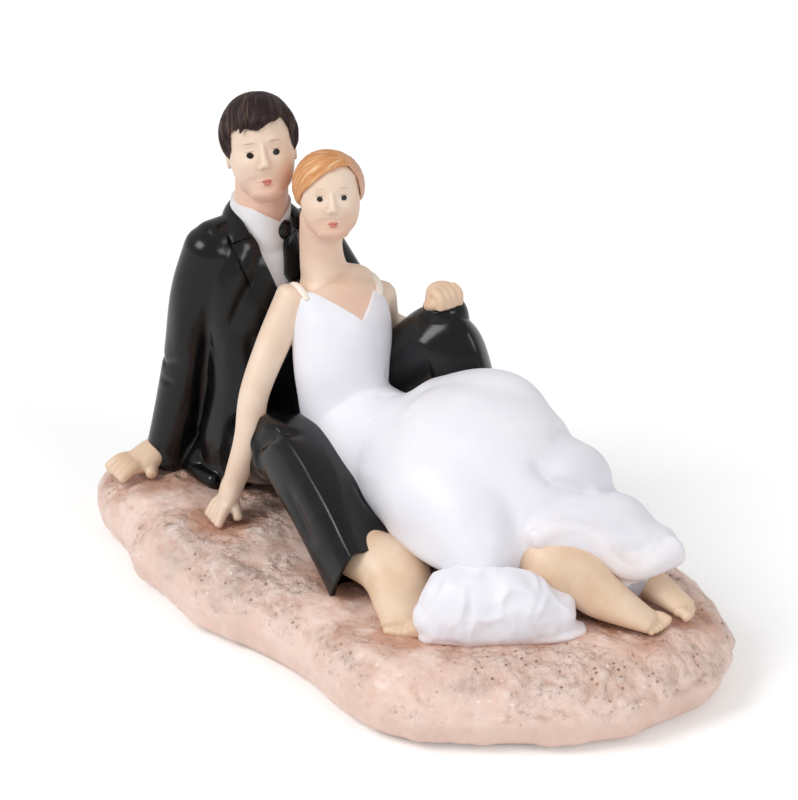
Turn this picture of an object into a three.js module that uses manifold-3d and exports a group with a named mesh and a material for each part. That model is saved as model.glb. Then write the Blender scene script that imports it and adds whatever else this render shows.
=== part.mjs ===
// Wedding cake topper: a bride and groom in cast and painted resin, resting on a slab of beach sand.
// Millimetres, +Z up. +X runs along the slab towards the feet, +Y is the couple's left-hand side, and the
// origin is the middle of the slab's flat underside. Each casting is a mesh of its own. The castings are
// glued together: the end of one sits in a socket of the next, with a glue gap all round.
import * as THREE from "three";
import { mergeVertices } from "three/addons/utils/BufferGeometryUtils.js";
import Module from "manifold-3d";

const wasm = await Module();
wasm.setup();

// Driving dimensions of the slab
const SAND_LENGTH = 146;
const SAND_WIDTH = 80;
const SAND_HEIGHT = 15;
const SAND_LUMP = 0.8;
const SAND_LUMP_SPACING = 13;
const SAND_WALL_LUMP = 1.1;
const COUPLE_ALONG = -1;
const COUPLE_ACROSS = -0.4;

// Fits
const GLUE_GAP = 0.3;
const PEG_RADIUS = 2.5;
const PEG_DEPTH = 5;
const PEG_ROOT = 6;
const NECK_PEG_RADIUS = 1.6;

// Groom: half-widths and thicknesses
const GROOM_HEAD = 21;
const GROOM_HAIR = 1.1;
const GROOM_NECK = 5.4;
const JACKET_SEAT = 14;
const JACKET_WAIST = 12.6;
const JACKET_CHEST = 14.2;
const JACKET_DEPTH = 11.6;
const LAPEL_THICKNESS = 0.9;
const SHIRT_RECESS = 0.9;
const COLLAR_HEIGHT = 5;
const COLLAR_THICKNESS = 0.6;
const TIE_THICKNESS = 1.3;
const SLEEVE_SHOULDER = 6.2;
const SLEEVE_ELBOW = 5.3;
const SLEEVE_CUFF = 4.9;
const TROUSER_THIGH = 7.6;
const TROUSER_KNEE = 6.8;
const TROUSER_HEM = 6.3;
const GROOM_PALM = 3.7;
const GROOM_FINGER = 1.15;
const GROOM_ANKLE = 5.6;
const GROOM_FOOT = 6.2;

// Bride: half-widths and thicknesses
const BRIDE_HEAD = 16.4;
const BRIDE_HAIR = 1.3;
const BRIDE_NECK = 4.1;
const BRIDE_SHOULDER = 11;
const BODICE_WAIST = 9.3;
const BODICE_BUST = 10.8;
const BODICE_DEPTH = 8.6;
const STRAP_PLACE = 6.8;
const STRAP_WIDTH = 1.7;
const STRAP_THICKNESS = 0.7;
const BRIDE_UPPER_ARM = 3.4;
const BRIDE_ELBOW = 3.0;
const BRIDE_WRIST = 2.3;
const BRIDE_PALM = 3.2;
const BRIDE_FINGER = 1.0;
const BRIDE_CALF = 5.2;
const BRIDE_FOOT = 3.4;
const SKIRT_HIPS = 13;
const SKIRT_KNEES = 18.5;
const SKIRT_HEM = 13;
const SKIRT_TIER = 6.6;
const HEM_ROLL = 2.5;
const FRONT_LOBE = 5;
const LEG_HOLLOW = 6;
const UNDERSKIRT_WIDTH = 6.8;
const UNDERSKIRT_HEIGHT = 8.5;

// A place on or above the sand: along and across from where the couple sits, and height over the sand.
const at = (x, y, height) => new THREE.Vector3(x + COUPLE_ALONG, y + COUPLE_ACROSS, SAND_HEIGHT + height);
const UP = new THREE.Vector3(0, 0, 1);
const ACROSS = new THREE.Vector3(0, 1, 0);
const GROOM_LEFT = new THREE.Vector3(0.17, 0.985, 0).normalize();
const BRIDE_LEFT = new THREE.Vector3(0.25, 0.955, -0.16).normalize();
const BRIDE_UP = new THREE.Vector3(-0.4, 0.12, 0.91).normalize();
const SKIRT_TILT = new THREE.Vector3(0, 0.93, 0.37).normalize();

// Solids

function solid(geometry) {
  const bare = new THREE.BufferGeometry();
  bare.setAttribute("position", geometry.getAttribute("position"));
  bare.setIndex(geometry.getIndex());
  const welded = mergeVertices(bare);
  const mesh = { numProp: 3, vertProperties: welded.attributes.position.array, triVerts: welded.index.array };
  return new wasm.Manifold(new wasm.Mesh(mesh));
}

function join(first, ...rest) {
  return rest.reduce((sum, piece) => sum.add(piece), first);
}

// An ellipsoid with its radii along the columns of a turn, grown by the same amount all round.
function ellipsoid(centre, radii, turn, grow, sides = 16) {
  const ball = new THREE.SphereGeometry(1, sides, Math.round(sides * 0.6));
  ball.scale(radii.x + grow, radii.y + grow, radii.z + grow);
  ball.applyMatrix4(turn.clone().setPosition(centre));
  return solid(ball);
}

// A prism with a flat outline in the plane of two directions, reaching from back to front of that plane.
function prism(outline, origin, right, up, back, front) {
  const shape = new THREE.Shape(outline.map(([u, v]) => new THREE.Vector2(u, v)));
  const block = new THREE.ExtrudeGeometry(shape, { depth: front - back, bevelEnabled: false });
  const out = right.clone().cross(up);
  const place = new THREE.Matrix4().makeBasis(right, up, out);
  block.translate(0, 0, back);
  block.applyMatrix4(place.setPosition(origin));
  return solid(block);
}

// A limb is an oval swept along a smooth line of stations and closed by domed ends. A station is its
// centre, its half-width along the side direction and its half-depth, which is the same if left out.
const DOME_STEPS = 1;

function limb(stations, grow, options = {}) {
  const { side = ACROSS, sides = 12, rings = 6, dome = 0.6, startDome = dome, fold = () => 0 } = options;
  const spine = new THREE.CatmullRomCurve3(stations.map(([centre]) => centre));
  const girth = new THREE.CatmullRomCurve3(
    stations.map(([, width, depth]) => new THREE.Vector3(width, depth ?? width, 0)),
  );
  const loops = [];
  for (let ring = 0; ring <= rings; ring += 1) {
    const t = ring / rings;
    const along = spine.getTangent(t);
    const across = side.clone().addScaledVector(along, -side.dot(along)).normalize();
    const size = girth.getPoint(t);
    loops.push({
      t,
      along,
      across,
      out: along.clone().cross(across),
      centre: spine.getPoint(t),
      width: size.x + grow,
      depth: size.y + grow,
    });
  }
  const domeLoop = (loop, step, rise) => {
    const angle = (step / (DOME_STEPS + 1)) * (Math.PI / 2);
    const reach = rise * Math.min(loop.width, loop.depth) * Math.sin(angle);
    const shrink = step > DOME_STEPS ? 0 : Math.cos(angle);
    const centre = loop.centre.clone().addScaledVector(loop.along, reach);
    return { ...loop, centre, width: loop.width * shrink, depth: loop.depth * shrink };
  };
  const first = loops[0];
  const last = loops[rings];
  for (let step = 1; step <= DOME_STEPS + 1; step += 1) {
    loops.unshift(domeLoop(first, step, -startDome));
    loops.push(domeLoop(last, step, dome));
  }
  const skin = new THREE.SphereGeometry(1, sides, loops.length - 1);
  const vertices = skin.getAttribute("position");
  for (let i = 0; i < vertices.count; i += 1) {
    const loop = loops[Math.floor(i / (sides + 1))];
    const angle = (((i % (sides + 1)) % sides) / sides) * 2 * Math.PI;
    const swell = 1 + fold(loop.t, angle);
    const point = loop.centre.clone();
    point.addScaledVector(loop.across, -Math.cos(angle) * loop.width * swell);
    point.addScaledVector(loop.out, Math.sin(angle) * loop.depth * swell);
    vertices.setXYZ(i, point.x, point.y, point.z);
  }
  return solid(skin);
}

// Sand slab: one outline, drawn in at the foot and rounded over at the rim, with lumps on the top and wall.
// The outline is in shares of half the slab's length and width.
const SAND_OUTLINE = [
  [-1.0, -0.2], [-0.97, -0.55], [-0.89, -0.76], [-0.76, -0.825], [-0.645, -0.87], [-0.52, -0.96],
  [-0.39, -0.99], [-0.175, -1.0], [0.02, -0.94], [0.17, -0.91], [0.29, -0.91], [0.44, -0.95],
  [0.61, -0.91], [0.74, -0.7], [0.86, -0.44], [0.945, -0.18], [1.0, 0.14], [0.99, 0.43],
  [0.92, 0.68], [0.795, 0.9], [0.59, 0.99], [0.25, 1.0], [-0.16, 0.99], [-0.54, 0.91],
  [-0.815, 0.68], [-0.965, 0.24],
];
// Share of the outline and share of the sand's height, from the middle of the top to that of the underside.
const SAND_PROFILE = [
  [0, 1], [0.2, 1], [0.38, 1], [0.56, 1], [0.73, 1], [0.87, 0.95], [0.965, 0.76], [1, 0.48], [0.975, 0.18],
  [0.92, 0], [0, 0],
];
const SAND_SIDES = 54;

// Lumps and hollows in turn, from -1 to 1, with crooked rows.
function lumps(x, y) {
  const pace = Math.PI / SAND_LUMP_SPACING;
  return Math.sin(x * pace + 1.2 * Math.sin(y / 11)) * Math.cos(y * pace + 0.9 * Math.sin(x / 17));
}

function sandSlab(grow) {
  const curve = new THREE.CatmullRomCurve3(
    SAND_OUTLINE.map(([x, y]) => new THREE.Vector3(x, y, 0)),
    true,
  );
  const rim = curve.getSpacedPoints(SAND_SIDES);
  const slab = new THREE.SphereGeometry(1, SAND_SIDES, SAND_PROFILE.length - 1);
  const vertices = slab.getAttribute("position");
  for (let i = 0; i < vertices.count; i += 1) {
    const [share, height] = SAND_PROFILE[Math.floor(i / (SAND_SIDES + 1))];
    const edge = rim[(i % (SAND_SIDES + 1)) % SAND_SIDES];
    const x = (edge.x * share * SAND_LENGTH) / 2;
    const y = (edge.y * share * SAND_WIDTH) / 2;
    const rise = height > 0.8 ? SAND_LUMP * lumps(x, y) : 0;
    const onWall = height > 0.1 && height < 0.9;
    const dent = onWall ? (SAND_WALL_LUMP * (1 - lumps(x + 9, y + height * SAND_HEIGHT))) / 2 : 0;
    const drawn = onWall ? 1 - dent / Math.hypot(x, y) : 1;
    const lift = height > 0 ? grow : -grow;
    vertices.setXYZ(i, x * drawn, y * drawn, height * SAND_HEIGHT + rise + lift);
  }
  slab.computeBoundingBox();
  const middle = slab.boundingBox.getCenter(new THREE.Vector3());
  const span = slab.boundingBox.getSize(new THREE.Vector3());
  slab.translate(-middle.x, -middle.y, 0);
  slab.scale(SAND_LENGTH / span.x, SAND_WIDTH / span.y, 1);
  return solid(slab);
}

// Heads are made in shares of the head's height, on a frame with x to the front, y to the left and z up.

function headFrame(centre, height, yaw, pitch, roll) {
  const degrees = Math.PI / 180;
  const angles = new THREE.Euler(roll * degrees, -pitch * degrees, yaw * degrees, "ZYX");
  const turn = new THREE.Matrix4().makeRotationFromEuler(angles);
  const place = turn.clone().setPosition(centre);
  return {
    turn,
    height,
    left: new THREE.Vector3(0, 1, 0).transformDirection(turn),
    point: (x, y, z) => new THREE.Vector3(x, y, z).multiplyScalar(height).applyMatrix4(place),
  };
}

const GROOM_FACE = headFrame(at(-39.8, -2.2, 70.7), GROOM_HEAD, -26, 12, 9);
const BRIDE_FACE = headFrame(at(-23, 3, 64.3), BRIDE_HEAD, -26, 13, 5);
const CRANIUM = { centre: [-0.09, 0, 0.13], radii: [0.4, 0.335, 0.37] };

function skull(face, grow, extra = 0) {
  const radii = new THREE.Vector3(...CRANIUM.radii).multiplyScalar(face.height).addScalar(extra);
  return ellipsoid(face.point(...CRANIUM.centre), radii, face.turn, grow, 14);
}

function jaw(face, grow) {
  const { height: size, point, left } = face;
  const stations = [
    [point(0.0, 0, 0.12), 0.31 * size, 0.3 * size],
    [point(0.06, 0, -0.12), 0.295 * size, 0.28 * size],
    [point(0.13, 0, -0.28), 0.235 * size, 0.21 * size],
    [point(0.19, 0, -0.385), 0.14 * size, 0.12 * size],
  ];
  return limb(stations, grow, { side: left, rings: 4, sides: 12 });
}

function nose(face, grow) {
  const { height: size, point, left } = face;
  const stations = [
    [point(0.27, 0, 0.08), 0.035 * size, 0.05 * size],
    [point(0.335, 0, -0.02), 0.04 * size, 0.05 * size],
    [point(0.37, 0, -0.1), 0.055 * size, 0.05 * size],
  ];
  return limb(stations, grow, { side: left, rings: 2, sides: 6 });
}

function ear(face, way, grow) {
  const radii = new THREE.Vector3(0.085, 0.035, 0.12).multiplyScalar(face.height);
  return ellipsoid(face.point(-0.06, way * 0.33, -0.02), radii, face.turn, grow, 8);
}

// Where the hair stops over the brow: an oval way in from the front.
function hairline(face, sideways, brow) {
  const { height: size, point, left } = face;
  const low = -0.5;
  const middle = (low + brow) / 2;
  const oval = [0.3 * size, ((brow - low) / 2) * size];
  const stations = [
    [point(0.0, sideways, middle), ...oval],
    [point(0.4, sideways, middle), ...oval],
    [point(0.8, sideways, middle), ...oval],
  ];
  return limb(stations, 0, { side: left, rings: 1, sides: 16, dome: 0.15 });
}

// Hands: a palm from the wrist to the knuckles, four fingers and a thumb.
function hand(wrist, knuckles, tips, thumbTip, palm, finger, side, grow) {
  const [innerKnuckle, outerKnuckle] = knuckles;
  const [innerTip, outerTip] = tips;
  const knuckleMiddle = innerKnuckle.clone().lerp(outerKnuckle, 0.5);
  const heel = wrist.clone().lerp(knuckleMiddle, 0.5);
  const wristGirth = palm * 0.72;
  const pieces = [
    limb(
      [[wrist, wristGirth, wristGirth], [heel, palm, palm * 0.68], [knuckleMiddle, palm, palm * 0.5]],
      grow,
      { side, rings: 3, sides: 8 },
    ),
    limb(
      [[heel, finger * 1.2], [heel.clone().lerp(thumbTip, 0.6), finger * 1.15], [thumbTip, finger]],
      grow,
      { side, rings: 2, sides: 6 },
    ),
  ];
  for (let n = 0; n < 4; n += 1) {
    const knuckle = innerKnuckle.clone().lerp(outerKnuckle, 0.1 + n * 0.267);
    const tip = innerTip.clone().lerp(outerTip, n / 3);
    const bend = knuckle.clone().lerp(tip, 0.5).addScaledVector(UP, finger * 0.6);
    const stations = [[knuckle, finger], [bend, finger], [tip, finger * 0.85]];
    pieces.push(limb(stations, grow, { side, rings: 2, sides: 6, dome: 0.9 }));
  }
  return join(...pieces);
}

// Groom

const GROOM_CHEST = at(-41, -2, 40);

function groomTorso(grow) {
  const stations = [
    [at(-41, -2, -3), JACKET_SEAT, JACKET_DEPTH + 0.4],
    [at(-41, -2, 8), JACKET_SEAT + 0.4, JACKET_DEPTH + 0.9],
    [at(-40.5, -2, 22), JACKET_WAIST, JACKET_DEPTH - 0.8],
    [at(-41.3, -2, 37), JACKET_CHEST, JACKET_DEPTH],
    [at(-42.3, -2.3, 49.3), JACKET_CHEST, JACKET_DEPTH - 2.2],
    [at(-42, -2.8, 55.5), GROOM_NECK + COLLAR_THICKNESS + 1.2, GROOM_NECK + COLLAR_THICKNESS + 1.2],
  ];
  return limb(stations, grow, { side: GROOM_LEFT, sides: 20, rings: 9, dome: 0.25 });
}

// The jacket's skirts stop under the thighs: this is what they leave free.
function thighRoom(grow) {
  const stations = [[at(-26.5, -26, -3), 8], [at(-27.5, -8, -4), 9], [at(-26.5, 8, -3), 8]];
  return limb(stations, grow, { side: UP, rings: 4, sides: 10 });
}

// The V between the jacket's edges, in the chest's own plane: u to the left, v up from mid-chest.
const V_BOTTOM = -3.5;
const V_TOP = 24;
const V_MIDDLE = 1.3;
const V_HALF_WIDTH = 9.5;

const fromMiddle = (outline) => outline.map(([u, v]) => [u + V_MIDDLE, v]);

function frontOpening(grow) {
  const outline = [[0, V_BOTTOM - 2 * grow], [V_HALF_WIDTH + grow, V_TOP], [-V_HALF_WIDTH - grow, V_TOP]];
  return prism(fromMiddle(outline), GROOM_CHEST, GROOM_LEFT, UP, -2, 24);
}

// A plate of the given thickness lying on a body: an outline pushed onto it from the front.
function plateOn(body, outline, lift, thickness, grow) {
  const shell = body(lift + thickness + grow).subtract(body(lift - grow));
  return shell.intersect(prism(outline, GROOM_CHEST, GROOM_LEFT, UP, 2, 24));
}

const LAPEL_OUTLINE = [
  [0.4, V_BOTTOM - 1], [9, 22.5], [11.4, 20.5], [12, 15.9], [8.4, 15.3], [11.5, 14.7], [9.9, 9.7], [7.5, 3.6],
  [2.2, V_BOTTOM - 3.2],
];

function lapel(way, grow) {
  const outline = LAPEL_OUTLINE.map(([u, v]) => [way * u, v]);
  if (way < 0) outline.reverse();
  return plateOn(groomTorso, fromMiddle(outline), GLUE_GAP, LAPEL_THICKNESS, grow);
}

function jacket(grow) {
  return groomTorso(grow).subtract(frontOpening(GLUE_GAP - grow)).subtract(thighRoom(-grow));
}

const TIE_OUTLINE = [
  [2.4, 4], [5.2, 6.6], [4.2, 12.6], [5.8, 17.2], [0.2, 17.2], [1.6, 12.6], [0.2, 6.6],
];

function tie(grow) {
  const shirtFront = (extra) => groomTorso(extra - SHIRT_RECESS);
  return plateOn(shirtFront, TIE_OUTLINE, GLUE_GAP, TIE_THICKNESS, grow);
}

function shirt(grow) {
  const front = groomTorso(grow - SHIRT_RECESS).intersect(frontOpening(grow - GLUE_GAP));
  const girth = GROOM_NECK + GLUE_GAP + COLLAR_THICKNESS;
  const low = at(-41.3, -2.6, 53.5);
  const high = low.clone().add(new THREE.Vector3(0.7, 0.3, COLLAR_HEIGHT));
  const collar = limb([[low, girth + 0.5], [high, girth]], grow, { side: GROOM_LEFT, rings: 3, dome: 0.12 });
  return front.add(collar);
}

function groomHead(grow) {
  const { point, left } = GROOM_FACE;
  const neck = [
    [point(-0.08, 0, -0.05), GROOM_NECK],
    [at(-40.4, -2.2, 61), GROOM_NECK],
    [at(-41.4, -2.6, 51), GROOM_NECK],
  ];
  return join(
    skull(GROOM_FACE, grow),
    jaw(GROOM_FACE, grow),
    nose(GROOM_FACE, grow),
    ear(GROOM_FACE, 1, grow),
    ear(GROOM_FACE, -1, grow),
    limb(neck, grow, { side: left, rings: 2, sides: 10 }),
  );
}

function groomHair(grow) {
  const { height: size, point, left } = GROOM_FACE;
  const fringe = [
    [point(0.1, 0.24, 0.36), 0.07 * size],
    [point(0.25, 0.08, 0.33), 0.075 * size],
    [point(0.29, -0.08, 0.27), 0.05 * size],
  ];
  const cap = skull(GROOM_FACE, grow, GROOM_HAIR).subtract(hairline(GROOM_FACE, 0, 0.24));
  return cap.add(limb(fringe, grow, { side: left, rings: 3, sides: 8 }));
}

const RIGHT_WRIST = at(-54.2, -18.4, 4.2);
const LEFT_WRIST = at(-9.6, 17, 39.6);

function rightSleeve(grow) {
  const stations = [
    [at(-42.6, -12.6, 50.8), SLEEVE_SHOULDER],
    [at(-44.6, -15, 42), SLEEVE_SHOULDER - 0.3],
    [at(-48.6, -15.4, 26), SLEEVE_ELBOW],
    [at(-53.6, -17.4, 5), SLEEVE_CUFF],
  ];
  return limb(stations, grow, { startDome: 0.8, dome: 0.2, rings: 6 });
}

function leftSleeve(grow) {
  const stations = [
    [at(-41, 9, 50), SLEEVE_SHOULDER],
    [at(-34, 13.5, 38), SLEEVE_SHOULDER - 0.4],
    [at(-21, 15.6, 27), SLEEVE_ELBOW],
    [LEFT_WRIST, SLEEVE_CUFF - 0.3],
  ];
  return limb(stations, grow, { side: UP, startDome: 0.8, dome: 0.2, rings: 7 });
}

function groomRightHand(grow) {
  const knuckles = [at(-52.6, -25, 2), at(-57.8, -24.4, 2.2)];
  const tips = [at(-53, -30.4, 0.8), at(-59, -29.6, 0.8)];
  const side = new THREE.Vector3(-0.98, 0.12, 0);
  return hand(RIGHT_WRIST, knuckles, tips, at(-50, -25, 1), GROOM_PALM, GROOM_FINGER, side, grow);
}

function groomLeftHand(grow) {
  const knuckles = [at(-6, 13, 46.2), at(-6.8, 19.4, 46.2)];
  const tips = [at(-2.6, 13.6, 43.4), at(-3.4, 19, 43.4)];
  return hand(LEFT_WRIST, knuckles, tips, at(-6, 12, 42.4), GROOM_PALM, GROOM_FINGER, ACROSS, grow);
}

function rightTrouser(grow) {
  const stations = [
    [at(-37, -9, 8.5), TROUSER_THIGH],
    [at(-26, -12.5, 13.5), TROUSER_THIGH],
    [at(-15.5, -14.6, 18.2), TROUSER_KNEE],
    [at(-0.5, -17, 13), TROUSER_KNEE + 0.3],
    [at(14.5, -20.1, 5.4), TROUSER_HEM + 0.6],
  ];
  return limb(stations, grow, { rings: 8, sides: 14, dome: 0.3 });
}

function leftTrouser(grow) {
  const stations = [
    [at(-35, 7, 9.5), TROUSER_THIGH],
    [at(-19, 12.5, 24), TROUSER_THIGH - 0.4],
    [at(-5.2, 16.6, 36.4), TROUSER_KNEE - 0.6],
    [at(3, 19.4, 21), TROUSER_KNEE - 1],
    [at(9.5, 22.5, 5), TROUSER_HEM - 0.6],
  ];
  return limb(stations, grow, { rings: 8, sides: 14, dome: 0.3 });
}

function groomFoot(ankle, instep, ball, toes, side, grow) {
  const stations = [
    [ankle, GROOM_ANKLE],
    [instep, GROOM_FOOT, GROOM_FOOT * 0.75],
    [ball, GROOM_FOOT * 0.9, GROOM_FOOT * 0.45],
    [toes, GROOM_FOOT * 0.66, GROOM_FOOT * 0.28],
  ];
  return limb(stations, grow, { side, rings: 5, dome: 0.7 });
}

function groomRightFoot(grow) {
  const side = new THREE.Vector3(0.36, 0.93, 0);
  return groomFoot(at(13, -19, 6.4), at(22, -20.6, 5), at(28, -24, 2.6), at(32.4, -26.6, 1.5), side, grow);
}

function groomLeftFoot(grow) {
  const side = new THREE.Vector3(-0.3, 0.95, 0);
  return groomFoot(at(9, 22.3, 6.4), at(16.5, 25, 4.6), at(22.5, 27, 2.6), at(27, 28.4, 1.5), side, grow);
}

// Bride

// The neckline is drawn in the chest's own plane: u to the left, v up from the bust.
const BRIDE_CHEST = at(-18.6, 0.9, 38);
const NECKLINE_PEAK = 7.4;

function brideTorso(grow) {
  const stations = [
    [at(-17.8, 0.6, 34), BRIDE_SHOULDER - 1.2, BODICE_DEPTH - 1.6],
    [at(-21, 2.2, 42), BRIDE_SHOULDER - 0.2, BODICE_DEPTH - 2.2],
    [at(-23.6, 2.8, 45), BRIDE_SHOULDER - 1, BODICE_DEPTH - 4],
    [at(-25, 2.4, 48.6), BRIDE_NECK + 0.6, BRIDE_NECK + 0.5],
    [at(-25.2, 2.3, 54), BRIDE_NECK],
    [at(-24.6, 2, 60), BRIDE_NECK],
  ];
  return limb(stations, grow, { side: BRIDE_LEFT, sides: 16, rings: 10, dome: 0.4 });
}

function brideHead(grow) {
  return join(skull(BRIDE_FACE, grow), jaw(BRIDE_FACE, grow), nose(BRIDE_FACE, grow));
}

function brideHair(grow) {
  const { height: size, point, turn } = BRIDE_FACE;
  const knot = new THREE.Vector3(0.17, 0.22, 0.2).multiplyScalar(size);
  const cap = skull(BRIDE_FACE, grow, BRIDE_HAIR + 0.03 * size).subtract(hairline(BRIDE_FACE, 0.06, 0.33));
  return cap.add(ellipsoid(point(-0.45, 0, -0.03), knot, turn, grow, 12));
}

function bodice(grow) {
  const stations = [
    [at(-12.6, -1.6, 20), BODICE_WAIST + 0.3, BODICE_DEPTH - 1.2],
    [at(-14.4, -1.4, 25), BODICE_WAIST + 0.1, BODICE_DEPTH - 1.4],
    [at(-16.2, -0.2, 30.5), BODICE_WAIST, BODICE_DEPTH - 1],
    [at(-18.6, 1.3, 38), BODICE_BUST, BODICE_DEPTH],
    [at(-21.6, 2.2, 44), BODICE_BUST - 0.3, BODICE_DEPTH - 2.2],
  ];
  const body = limb(stations, grow, { side: BRIDE_LEFT, sides: 18, rings: 7, dome: 0.4 });
  const neckline = [
    [2, 1], [STRAP_PLACE, NECKLINE_PEAK], [14, 4], [14, 14],
    [-14, 14], [-14, 4], [-STRAP_PLACE, NECKLINE_PEAK],
  ];
  return body.subtract(prism(neckline, BRIDE_CHEST, BRIDE_LEFT, BRIDE_UP, -14, 14));
}

function strap(way, grow) {
  const shell = brideTorso(GLUE_GAP + STRAP_THICKNESS + grow).subtract(brideTorso(GLUE_GAP - grow));
  const half = STRAP_WIDTH / 2 + grow;
  const [right, left] = [way * STRAP_PLACE - half, way * STRAP_PLACE + half];
  const foot = NECKLINE_PEAK + GLUE_GAP - grow;
  const strip = [[right, foot], [left, foot], [left, foot + 12], [right, foot + 12]];
  return shell.intersect(prism(strip, BRIDE_CHEST, BRIDE_LEFT, BRIDE_UP, -14, 14));
}

function brideRightArm(grow) {
  const wrist = at(-24.3, -21.3, 9.5);
  const stations = [
    [at(-25, -6.6, 44.4), BRIDE_UPPER_ARM + 0.5],
    [at(-24.6, -11.8, 36), BRIDE_UPPER_ARM],
    [at(-23.2, -17.2, 27), BRIDE_ELBOW],
    [at(-22.6, -19.3, 18), BRIDE_ELBOW - 0.2],
    [wrist, BRIDE_WRIST],
  ];
  const knuckles = [at(-23.6, -23.8, 3.8), at(-28.4, -22, 3.8)];
  const tips = [at(-22.8, -27, 1), at(-28, -25.8, 1)];
  const side = new THREE.Vector3(-0.93, 0.36, 0).normalize();
  return join(
    limb(stations, grow, { rings: 7, sides: 10 }),
    hand(wrist, knuckles, tips, at(-22, -22.6, 1.6), BRIDE_PALM, BRIDE_FINGER, side, grow),
  );
}

function brideLeftArm(grow) {
  const wrist = at(-10.8, 24.6, 30);
  const stations = [
    [at(-20.8, 10.5, 41.4), BRIDE_UPPER_ARM + 0.5],
    [at(-21.8, 16.7, 36.9), BRIDE_UPPER_ARM],
    [at(-22.3, 22.4, 30.2), BRIDE_ELBOW],
    [at(-16.6, 24.4, 28.5), BRIDE_ELBOW - 0.2],
    [wrist, BRIDE_WRIST],
  ];
  const knuckles = [at(-6.4, 23.8, 33.2), at(-6.2, 24.8, 28.6)];
  const tips = [at(-2.8, 22.6, 33.2), at(-2.4, 23.4, 29)];
  return join(
    limb(stations, grow, { rings: 7, sides: 10, side: UP }),
    hand(wrist, knuckles, tips, at(-7.4, 22, 35), BRIDE_PALM, BRIDE_FINGER, UP, grow),
  );
}

function brideRightLeg(grow) {
  const stations = [
    [at(32, 3, 12.5), BRIDE_CALF - 0.6],
    [at(38, 3.2, 11.8), BRIDE_CALF - 0.2],
    [at(44.8, 3.8, 10.2), BRIDE_CALF + 0.2],
    [at(52.4, 8.4, 5.6), BRIDE_CALF - 0.7],
    [at(58, 11.8, 3.1), BRIDE_FOOT + 0.5, BRIDE_FOOT * 0.82],
    [at(61.4, 13.8, 1.7), BRIDE_FOOT, BRIDE_FOOT * 0.48],
  ];
  return limb(stations, grow, { rings: 7 });
}

function brideLeftFoot(grow) {
  const stations = [
    [at(42, 18.4, 8), BRIDE_CALF - 1.4],
    [at(49, 20.6, 5), BRIDE_CALF - 1.7],
    [at(55.5, 22, 3.2), BRIDE_FOOT, BRIDE_FOOT * 0.85],
    [at(61.8, 23, 1.4), BRIDE_FOOT * 0.85, BRIDE_FOOT * 0.45],
  ];
  return limb(stations, grow, { rings: 5 });
}

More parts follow.
